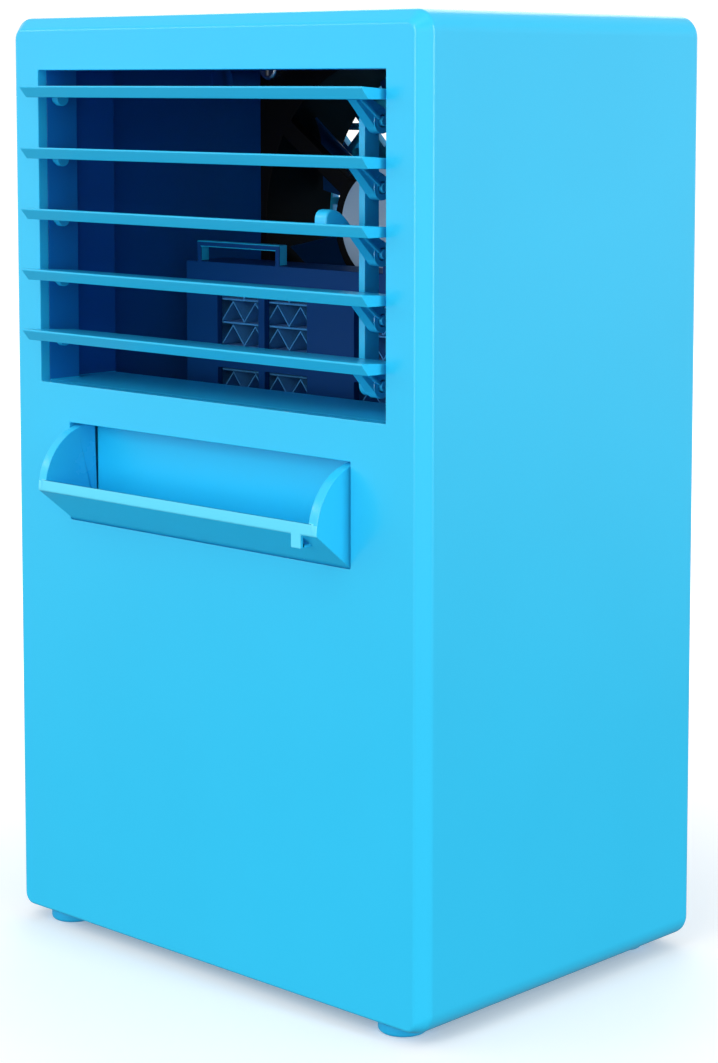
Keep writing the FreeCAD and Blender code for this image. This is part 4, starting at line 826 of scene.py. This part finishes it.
# ---- louvre --------------------------------------------------------------------------------
@dataclass
class Louvre:
    """Five slats on end pivots, each with a crank to the link bar; the middle one has a thumb fin."""

    count: int = 5
    nose: float = 2.7 * MM
    thickness: float = 2.8 * MM
    rear_thickness: float = 1.9 * MM
    front_edge: float = 0.75 * MM
    pivot_drop: float = 3.4 * MM
    reach: float = 13.5 * MM
    rear: float = 4.5 * MM
    half_width: float = 60.6 * MM
    tilt: float = math.radians(4.0)
    pin_radius: float = 1.25 * MM
    lug_radius: float = 1.9 * MM
    lug_length: float = 2.0 * MM
    crank_x: float = 44.8 * MM
    crank_width: float = 3.0 * MM
    eye_y: float = 9.7 * MM
    eye_z: float = 4.1 * MM
    eye_radius: float = 3.0 * MM
    eye_bore: float = 1.5 * MM
    bar_width: float = 2.0 * MM
    bar_pin: float = 1.2 * MM
    fin_x: float = 40.0 * MM
    fin_width: float = 4.0 * MM
    fin_length: float = 9.2 * MM
    edge: float = 0.22 * MM

    def top(self) -> float:
        """The level blade's upper face above its pivot."""
        return self.pivot_drop - self.reach * math.tan(self.tilt)

    def blade(self) -> Object:
        """The blade, level, about its pivot: a thin wedge with a slanted front edge."""
        top = self.top()
        piece = block("slat", (-self.half_width, -self.reach, top - self.thickness),
                      (self.half_width, self.rear, top))
        shift_corners(piece, lambda p: p.y < 0 and p.z < top - NEAR, (0, self.nose, 0))
        thinner = self.thickness - self.rear_thickness
        shift_corners(piece, lambda p: p.y > 0 and p.z < top - NEAR, (0, 0, thinner))
        round_edges(piece, lambda p: p.y < -self.reach + NEAR, self.front_edge, 4)
        round_edges(piece, lambda p: p.y > self.rear - NEAR and p.z > top - NEAR, self.front_edge, 3)
        return piece

    def ends(self, side: int) -> list[Object]:
        """The lug under one end of the blade, and its pivot pin."""
        inner = side * (self.half_width - self.lug_length)
        pin_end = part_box("slat_1")[1].x
        lug = rod("lug", Axis.X, self.lug_radius, (inner, 0, 0), side * (self.lug_length - HAIR), 32)
        x0, x1 = sorted((inner + side * HAIR, side * (self.half_width - 2 * HAIR)))
        neck = block("neck", (x0, -0.9 * self.lug_radius, 0),
                     (x1, 0.9 * self.lug_radius, self.top() - self.rear_thickness / 2))
        start = inner + side * self.lug_length / 2
        pin = rod("pin", Axis.X, self.pin_radius, (start, 0, 0), side * pin_end - start, 32)
        return [lug, neck, pin]

    def crank(self) -> list[Object]:
        """The crank plate, its stiffening rib and its eye."""
        top, y, z = self.top(), self.eye_y, -self.eye_z
        x0, x1 = self.crank_x - self.crank_width / 2, self.crank_x + self.crank_width / 2
        plate_outline = [(self.rear - 5.5 * MM, top - 1.2 * MM), (self.rear - 0.2 * MM, top - 1.0 * MM),
                         (y + 2.0 * MM, z + 2.2 * MM), (y - 1.2 * MM, z - 2.7 * MM)]
        rib_outline = [(self.rear - 4.0 * MM, top - 1.5 * MM), (self.rear - 2.2 * MM, top - 1.5 * MM),
                       (y + 0.4 * MM, z), (y - 1.2 * MM, z)]
        plate = plate_x("plate", plate_outline, x0 + HAIR, x1 - HAIR)
        rib = plate_x("rib", rib_outline, x0 + 0.5 * MM, x1 + 0.6 * MM)
        return [plate, rib, rod("eye", Axis.X, self.eye_radius, (x0, y, z), self.crank_width, 32)]

    def fin(self) -> Object:
        """The thumb fin: a steep rounded front and a long falling back."""
        top, front = self.top(), -self.fin_length * 0.61
        outline = [(0.0, -0.9), (0.0, 1.4), (0.35, 2.5), (1.1, 3.15), (2.2, 3.4), (3.4, 3.3), (4.7, 2.85),
                   (6.1, 2.05), (7.5, 0.95), (8.6, -0.1), (9.2, -0.9)]
        places = [(front + along * MM, top + rise * MM) for along, rise in outline]
        piece = plate_x("fin", places, self.fin_x - self.fin_width / 2, self.fin_x + self.fin_width / 2)
        return soften(piece, 0.55 * MM, 3, 50.0)

    def slat(self, number: int) -> Object:
        """One slat in its place at rest.

        Args:
            number: The slat's number from the top, from 1.

        Returns:
            The slat.
        """
        piece = combine(self.blade(), [*self.ends(-1), *self.ends(1), *self.crank()], Join.TOGETHER)
        start = (self.crank_x - self.crank_width, self.eye_y, -self.eye_z)
        bore = rod("bore", Axis.X, self.eye_bore, start, 2 * self.crank_width, 32)
        combine(piece, [bore], Join.AWAY)
        soften(piece, self.edge)
        if number == (self.count + 1) // 2:
            piece = gather([piece, self.fin()], "slat")
        piece.name = f"louvre_slat_{number}"
        piece.rotation_euler = Euler((-self.tilt, 0, 0))
        piece.location = next(j["pos_m"] for j in frame["joints"] if j["name"] == f"slat_{number}_tilt")
        return settle(piece)

    def link_bar(self) -> Object:
        """The bar that ties the cranks, with a pin through each eye."""
        low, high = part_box("link_bar")
        width, depth = self.bar_width, high.y - low.y
        middle = (low.y + high.y) / 2
        bar = block("louvre_link", (low.x, low.y, low.z + depth / 2),
                    (low.x + width, high.y, high.z - depth / 2))
        ends = [rod("end", Axis.X, depth / 2, (low.x, middle, z), width, 32)
                for z in (low.z + depth / 2, high.z - depth / 2)]
        step = (high.z - low.z - depth) / (self.count - 1)
        places = [(low.x + width / 2, middle, low.z + depth / 2 + i * step) for i in range(self.count)]
        pins = [rod("pin", Axis.X, self.bar_pin, place, high.x - low.x - width / 2, 24) for place in places]
        combine(bar, [*ends, *pins], Join.TOGETHER)
        return soften(bar, self.edge)

    def build(self) -> None:
        """Builds and dresses the slats and the link bar."""
        for number in range(1, self.count + 1):
            dress(self.slat(number), SKY_BLUE, f"slat_{number}", "case_plastic", f"slat_{number}")
        dress(self.link_bar(), SKY_BLUE, "link", "case_plastic", "link_bar")


@dataclass
class LouvreDuct:
    """The duct behind the outlet: its sill painted lighter as painted light, its side walls painted darker
    behind their step as painted shade.
    """

    step_at: float = 10.0 * MM
    sill_depth: float = 0.6 * MM
    edge: float = 0.25 * MM
    case: CaseShell = field(default_factory=CaseShell)

    def build(self) -> None:
        """Builds and dresses the duct."""
        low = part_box("louvre_frame")[0]
        bottom = self.case.high.z - self.case.outlet_top - self.case.outlet_height
        back = low.y + self.step_at - NEAR
        duct = hold_inside(softened_copy("louvre_frame", "louvre_duct", self.edge, 2), "louvre_frame")
        dress(duct, INNER_SHADE_BLUE, "case", "case_plastic", "louvre_frame")
        # Painted shade on the walls behind the step, and painted light on the sill along the outlet's floor.
        repaint(duct, DEEP_SHADE_BLUE, lambda p: p.y > back)
        repaint(duct, SILL_LIGHT_BLUE, lambda p: p.z < bottom + self.sill_depth)


# ---- water fill ----------------------------------------------------------------------------
@dataclass
class FillFlap:
    """The flap: slanted panel with lip, two quarter-disc cheeks with stop nibs, pull tab, hinge pins."""

    thickness: float = 2.2 * MM
    reach: float = 13.8 * MM
    set_back: float = 5.5 * MM
    barrel: float = 1.4 * MM
    pin: float = 1.1 * MM
    cheek: float = 2.8 * MM
    nib_depth: float = 2.7 * MM
    tab_x: float = 43.2 * MM
    tab_width: float = 3.2 * MM
    tab_drop: float = 3.4 * MM
    tab_thickness: float = 1.1 * MM
    web_thickness: float = 0.8 * MM
    root: float = 1.0 * MM
    edge: float = 0.26 * MM
    arc_steps: int = 28
    fill: FillOpening = field(default_factory=FillOpening)

    def __post_init__(self) -> None:
        """Works the lip, cheeks and hinge out from the opening."""
        fill = self.fill
        self.half = fill.half_width - fill.gap
        self.lip_y, self.lip_z = fill.on_slope(self.reach, 0)
        self.cheek_radius = fill.top - fill.gap - self.lip_z
        self.axis = Vector(next(j["pos_m"] for j in frame["joints"] if j["name"] == "flap_close"))
        self.nib_front = fill.front + 3.0 * MM + fill.gap
        self.nib_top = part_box("fill_flap")[1].z

    def panel(self) -> Object:
        """The slanted panel, cut upright at its lip."""
        fill = self.fill
        length = self.reach + self.set_back + 2 * self.thickness
        middle_y, middle_z = fill.on_slope(length / 2 - self.set_back, -self.thickness / 2)
        clear_selection()
        bpy.ops.mesh.primitive_cube_add(
            size=1.0, location=(0, middle_y, middle_z), rotation=(fill.slope, 0, 0),
            scale=(2 * self.half - self.cheek, self.thickness, length))
        piece = bpy.context.active_object
        piece.name = "fill_flap_moulding"
        settle(piece)
        slice_off(piece, (0, self.lip_y, self.lip_z), (0, -1, 0))
        return piece

    def cheek_plate(self, side: int) -> Object:
        """One cheek: a quarter disc along the panel, with its stop nib behind the case wall.

        Args:
            side: -1 for the left cheek, 1 for the right.

        Returns:
            The cheek.
        """
        radius, rear = self.cheek_radius, self.nib_front + self.nib_depth
        centre_y = self.lip_y + radius
        last = math.acos((self.nib_front - centre_y) / radius)
        turns = [math.pi + (last - math.pi) * step / self.arc_steps for step in range(self.arc_steps + 1)]
        arc = [(centre_y + radius * math.cos(turn), self.lip_z + radius * math.sin(turn))
               for turn in turns]
        outline = [*arc, (self.nib_front, self.nib_top), (rear, self.nib_top),
                   (self.axis.y + self.barrel, self.axis.z), self.fill.on_slope(-self.set_back, 0)]
        ends = sorted((side * (self.half - self.cheek), side * self.half))
        return plate_x("cheek", outline, *ends)

    def tab(self) -> list[Object]:
        """The pull tab that hangs from the lip, and the web from its lower end back to the panel."""
        x0, x1 = self.tab_x - self.tab_width / 2, self.tab_x + self.tab_width / 2
        low = self.lip_z - self.tab_drop
        back = self.lip_y + self.tab_drop * math.tan(self.fill.slope) + self.root
        plate = block("tab", (x0, self.lip_y, low),
                      (x1, self.lip_y + self.tab_thickness, self.lip_z + self.root))
        web = block("web", (x0 + HAIR / 2, self.lip_y + HAIR / 2, low),
                    (x1 - HAIR / 2, back, low + self.web_thickness))
        return [plate, web]

    def build(self) -> None:
        """Builds and dresses the flap."""
        inner = self.half - self.cheek / 2
        barrel = rod("barrel", Axis.X, self.barrel, (-inner, self.axis.y, self.axis.z), 2 * inner, 32)
        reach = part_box("fill_flap")[1].x
        pins = [rod("pin", Axis.X, self.pin, (side * inner, self.axis.y, self.axis.z),
                    side * (reach - inner), 32) for side in (-1, 1)]
        tools = [barrel, self.cheek_plate(-1), self.cheek_plate(1), *self.tab(), *pins]
        body = combine(self.panel(), tools, Join.TOGETHER)
        hold_inside(soften(body, self.edge), "fill_flap")
        dress(body, FLAP_BLUE, "fill_flap", "case_plastic", "fill_flap")
        # Painted highlight: the lip's upright front face gets the lighter blue.
        repaint(body, LIP_HIGHLIGHT_BLUE, lambda p: p.y < self.lip_y + self.edge + NEAR)


# ---- rear ----------------------------------------------------------------------------------
@dataclass
class SpeedKnob:
    """The knob: a fluted skirt with a grip bar across it and a pointer line."""

    grip_height: float = 5.5 * MM
    grip_width: float = 7.2 * MM
    flutes: int = 24
    flute_radius: float = 0.6 * MM
    skirt_round: float = 0.8 * MM
    trim: float = 0.4 * MM
    groove_width: float = 1.4 * MM
    groove_depth: float = 0.8 * MM
    edge: float = 0.2 * MM

    def build(self) -> None:
        """Builds and dresses the knob."""
        low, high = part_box("speed_knob")
        centre = (low + high) / 2
        radius = (high.x - low.x) / 2
        skirt_top = high.y - self.grip_height
        skirt = rod("knob", Axis.Y, radius, (centre.x, low.y, centre.z), skirt_top - low.y, 96)
        round_edges(skirt, lambda p: p.y > skirt_top - NEAR, self.skirt_round, 3)
        cutters = []
        for i in range(self.flutes):
            turn = 2 * math.pi * (i + 0.5) / self.flutes
            start = (centre.x + radius * math.cos(turn), low.y - MM, centre.z + radius * math.sin(turn))
            cutters.append(rod("flute", Axis.Y, self.flute_radius, start, high.y - low.y, 12))
        combine(skirt, [gather(cutters, "flutes")], Join.AWAY)
        bar = block("grip", (centre.x - self.grip_width / 2, skirt_top - MM, low.z),
                    (centre.x + self.grip_width / 2, high.y, high.z))
        trim = rod("trim", Axis.Y, radius - self.trim, (centre.x, low.y, centre.z),
                   high.y - low.y + MM, 96)
        combine(bar, [trim], Join.COMMON)
        combine(skirt, [bar], Join.TOGETHER)
        half = self.groove_width / 2
        groove = block("groove", (centre.x - half, high.y - self.groove_depth, centre.z + 2 * MM),
                       (centre.x + half, high.y + MM, high.z + MM))
        combine(skirt, [groove], Join.AWAY)
        soften(skirt, self.edge)
        skirt.name = "speed_knob_moulding"
        dress(skirt, SKY_BLUE, "speed_knob", "case_plastic", "speed_knob")


@dataclass
class CoverScrews:
    """The rear cover's pan-head screws with a cross recess."""

    head_radius: float = 2.8 * MM
    head_height: float = 1.9 * MM
    shank_radius: float = 1.25 * MM
    slot_length: float = 3.2 * MM
    slot_width: float = 0.7 * MM
    slot_depth: float = 1.0 * MM
    head_round: float = 0.9 * MM
    edge: float = 0.12 * MM

    def build(self) -> None:
        """Builds and dresses the six screws as one piece of six shells."""
        low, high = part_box("cover_screws")
        length = high.y - low.y
        under = length - self.head_height
        screw = rod("screw", Axis.Y, self.head_radius, (0, under, 0), self.head_height, 48)
        round_edges(screw, lambda p: p.y > length - NEAR, self.head_round, 5)
        shank = rod("shank", Axis.Y, self.shank_radius, (0, 0, 0), under + 2 * HAIR, 24)
        combine(screw, [shank], Join.TOGETHER)
        half, width = self.slot_length / 2, self.slot_width / 2
        bottom, above = length - self.slot_depth, length + MM
        combine(screw, [block("slot", (-half, bottom, -width), (half, above, width)),
                        block("slot", (-width, bottom, -half), (width, above, half))], Join.AWAY)
        soften(screw, self.edge)
        x = high.x - self.head_radius
        heights = (low.z + self.head_radius, (low.z + high.z) / 2, high.z - self.head_radius)
        places = [Vector((side * x, low.y, z)) for side in (-1, 1) for z in heights]
        screws = gather(copies(screw, places), "rear_cover_screws")
        dress(screws, ZINC, "case", "screw_steel", "cover_screws")


@dataclass
class MouldedInside:
    """Inner mouldings that keep the frame's shape with broken edges."""

    edge: float = 0.25 * MM
    loop_height: float = 35.6 * MM
    splash_gap: float = 0.3 * MM
    splash_growth: float = 0.2 * MM
    flap: FillFlap = field(default_factory=FillFlap)

    def widen_splash_wall(self, piece: Object) -> None:
        """Brings the splash wall's ends closer to the flap's cheeks."""
        end = self.flap.half - self.flap.cheek - self.splash_gap
        for corner in piece.data.vertices:
            if abs(abs(corner.co.x) - end) < self.splash_growth:
                corner.co.x += math.copysign(self.splash_growth, corner.co.x)

    def build(self) -> None:
        """Builds and dresses the inner mouldings."""
        table = [
            ("fill_chute", "fill_pocket", CHUTE_BLUE, "case_plastic"),
            ("pad_frame", "pad_cassette", CASSETTE_SHADE_BLUE, "case_plastic"),
            ("fan_frame", "fan_housing", FAN_BLACK, "fan_plastic"),
            ("power_jack", "power_inlet_body", SWITCH_BLACK, "switch_body"),
        ]
        for node, name, finish, slot in table:
            piece = hold_inside(softened_copy(node, name, self.edge, 2), node)
            dress(piece, finish, "case", slot, node)
            # Painted shade and light: the cassette is painted dark navy for the shade inside the case, and
            # its loops above the grip height get the lighter pocket blue, standing in for the light that
            # falls on them through the outlet.
            if node == "pad_frame":
                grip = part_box("fan_frame")[0].z + self.loop_height
                repaint(piece, CHUTE_BLUE, lambda p: p.z > grip)
            if node == "fill_chute":
                self.widen_splash_wall(piece)


@dataclass
class WickPad:
    """The wicking pad: flat paper sheets with a zigzag sheet between each two, open from front to back."""

    tier: float = 6.4 * MM
    flute: float = 8.2 * MM
    paper: float = 0.5 * MM
    clear: float = 0.05 * MM

    def zigzag(self, size: Vector, rise: float) -> Object:
        """One zigzag sheet about the world's origin.

        Args:
            size: The pad's size.
            rise: The zigzag's height.

        Returns:
            The sheet.
        """
        count = 2 * round(size.x / self.flute)
        clear_selection()
        bpy.ops.mesh.primitive_grid_add(
            x_subdivisions=count, y_subdivisions=1, size=1.0, location=(0, 0, 0))
        sheet = bpy.context.active_object
        sheet.name = "wick_sheet"
        sheet.scale = (size.x, size.y, 1)
        settle(sheet)
        step = size.x / count
        shift_corners(sheet, lambda p: round((p.x + size.x / 2) / step) % 2 == 1, (0, 0, rise))
        select_only(sheet)
        wall = sheet.modifiers.new("wall", "SOLIDIFY")
        wall.thickness = self.paper
        wall.offset = 1.0
        bpy.ops.object.modifier_apply(modifier=wall.name)
        return sheet

    def build(self) -> None:
        """Builds and dresses the pad."""
        low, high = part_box("wick_pad")
        low, high = low + Vector((self.clear,) * 3), high - Vector((self.clear,) * 3)
        size = high - low
        tiers = round(size.z / self.tier)
        pitch = (size.z - self.paper) / tiers
        middle = (low + high) / 2
        levels = [Vector((middle.x, middle.y, low.z + i * pitch)) for i in range(tiers + 1)]
        above = Vector((0, 0, self.paper))
        sheets = copies(self.zigzag(size, pitch - 2.2 * self.paper), [level + above for level in levels[:-1]])
        liner = block("wick_liner", (-size.x / 2, -size.y / 2, 0), (size.x / 2, size.y / 2, self.paper))
        round_edges(liner, anywhere, HAIR, 1)
        pad = gather([*sheets, *copies(liner, levels)], "wick_pad_paper")
        dress(smooth(pad, 20.0), PAPER, "case", "wick_paper", "wick_pad")


@dataclass
class Fan:
    """The fan's plain sticker; its rotor keeps the frame's shape."""

    radius: float = 14.8 * MM
    edge: float = 0.08 * MM

    def build(self) -> None:
        """Builds and dresses the sticker."""
        low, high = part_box("motor_label")
        centre = (low + high) / 2
        start = (centre.x, low.y, centre.z)
        sticker = rod("hub_sticker", Axis.Y, self.radius, start, high.y - low.y, 96)
        soften(sticker, self.edge)
        dress(sticker, STICKER, "case", "plain_label", "motor_label")


# ---- studio --------------------------------------------------------------------------------
@dataclass
class Studio:
    """Pale floor, bright surroundings above and dim ones below, soft lights and the camera."""

    camera_place: tuple[float, float, float] = (0.45793, -0.47335, 0.22317)
    yaw: float = math.radians(43.602)
    pitch: float = math.radians(5.555)
    lens: float = 86.822
    shift_y: float = -0.1885
    horizon: float = 1.08
    zenith: float = 0.62
    nadir: float = 0.28
    ground_tint: tuple[float, float, float] = (0.45, 0.78, 1.0)
    away: float = 1.3
    floor_radius: float = 40.0
    glow_near: float = 0.18
    glow_far: float = 0.55

    def floor(self) -> None:
        """Adds the floor, which isn't part of the object."""
        clear_selection()
        bpy.ops.mesh.primitive_circle_add(vertices=96, radius=self.floor_radius, fill_type="NGON",
                                          location=(0, 0, 0))
        floor = bpy.context.active_object
        floor.name = "studio_floor"
        bench = NodeBench("studio_floor_paint")
        bench.paint(bench.tint(bench.noise(3.0), (0.90, 0.90, 0.90), (0.92, 0.92, 0.92)),
                    bench.spread(bench.noise(40.0), 0.7, 0.8))
        # Painted shadow: the floor glows so that it reads white, and glows less near the middle, deepening
        # the shadow round the object's foot.
        bench.set(Specular_IOR_Level=0.2, Emission_Color=(1.0, 1.0, 1.0, 1.0))
        away = bench.add("ShaderNodeVectorMath", operation="LENGTH")
        bench.link(bench.coords, away.inputs[0])
        bench.link(bench.spread(away.outputs["Value"], self.glow_near, self.glow_far, (0.1, 0.4)),
                   bench.shader.inputs["Emission Strength"])
        floor.data.materials.append(bench.material)
        floor.visible_diffuse = False
        floor.visible_glossy = False

    def surroundings(self) -> None:
        """Lights the scene from all round: bright above the horizon, dim below it."""
        world = bpy.data.worlds.new("studio")
        world.use_nodes = True
        tree = world.node_tree
        back = tree.nodes["Background"]
        look = tree.nodes.new("ShaderNodeTexCoord")
        split = tree.nodes.new("ShaderNodeSeparateXYZ")
        tree.links.new(look.outputs["Generated"], split.inputs["Vector"])
        both = tree.nodes.new("ShaderNodeMath")
        both.operation = "MULTIPLY"
        steps = ((-0.30, -0.05, self.nadir, self.horizon),
                 (0.10, 0.55, 1.0, self.zenith / self.horizon))
        for number, edges in enumerate(steps):
            step = tree.nodes.new("ShaderNodeMapRange")
            step.interpolation_type = "SMOOTHSTEP"
            for key, value in zip(("From Min", "From Max", "To Min", "To Max"), edges):
                step.inputs[key].default_value = value
            tree.links.new(split.outputs["Z"], step.inputs["Value"])
            tree.links.new(step.outputs["Result"], both.inputs[number])
        tree.links.new(both.outputs["Value"], back.inputs["Strength"])
        tone = tree.nodes.new("ShaderNodeMix")
        tone.data_type = "RGBA"
        tone.inputs[6].default_value = (*self.ground_tint, 1.0)
        tone.inputs[7].default_value = (1.0, 1.0, 1.0, 1.0)
        tree.links.new(both.inputs[0].links[0].from_socket, tone.inputs[0])
        tree.links.new(tone.outputs[2], back.inputs["Color"])
        bpy.context.scene.world = world

    def light(self, name: str, turn: float, height: float, size: tuple[float, float],
              power: float) -> None:
        """Adds one soft light that faces the object's middle.

        Args:
            name: The light's name.
            turn: Its direction in degrees, from straight in front towards the right side.
            height: Its height.
            size: Its width and height.
            power: Its power in watts.
        """
        lamp = bpy.data.lights.new(name, "AREA")
        lamp.shape = "RECTANGLE"
        lamp.size, lamp.size_y = size
        lamp.energy = power
        holder = bpy.data.objects.new(name, lamp)
        bpy.context.scene.collection.objects.link(holder)
        angle = math.radians(turn)
        place = Vector((self.away * math.sin(angle), -self.away * math.cos(angle), height))
        holder.location = place
        middle = sum(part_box("front_casing"), Vector()) / 2
        holder.rotation_euler = (middle - place).to_track_quat("-Z", "Y").to_euler()

    def camera(self) -> None:
        """Adds the camera."""
        lens = bpy.data.cameras.new("camera")
        lens.lens = self.lens
        lens.sensor_width = 36.0
        lens.shift_y = self.shift_y
        lens.clip_start = 0.01
        holder = bpy.data.objects.new("camera", lens)
        holder.location = self.camera_place
        holder.rotation_euler = (math.pi / 2 - self.pitch, 0, self.yaw)
        bpy.context.scene.collection.objects.link(holder)
        bpy.context.scene.camera = holder

    def build(self) -> None:
        """Sets the studio up."""
        self.floor()
        self.surroundings()
        self.light("front", 2.0, 0.45, (0.14, 1.0), 5.6)
        self.light("right", 92.0, 0.45, (0.14, 1.0), 6.3)
        self.light("corner", 47.0, 0.35, (0.5, 1.0), 0.6)
        self.light("left_front", -47.0, 0.66, (0.9, 0.12), 1.6)
        self.light("front_top", 10.0, 1.5, (0.9, 0.9), 3.2)
        self.light("left_rear", -140.0, 0.9, (0.9, 0.9), 4.0)
        self.camera()
        bpy.context.scene.view_settings.view_transform = "Standard"


def carry_over() -> None:
    """Gives the frame nodes that keep their shape their finishes."""
    for name, finish in CARRIED_OVER.items():
        for slot in frame["nodes"][name].material_slots:
            slot.material = finish.material()
        LOG.info("%s: carried over, %s", name, finish.name)


def main() -> None:
    """Builds every sub-assembly in order."""
    logging.basicConfig(level=logging.INFO, format="%(name)s: %(message)s")
    for part in (CaseShell(), Feet(), Louvre(), LouvreDuct(), FillFlap(), SpeedKnob(), CoverScrews(),
                 MouldedInside(), WickPad(), Fan()):
        part.build()
    carry_over()
    Studio().build()


if __name__ == "__main__":
    main()
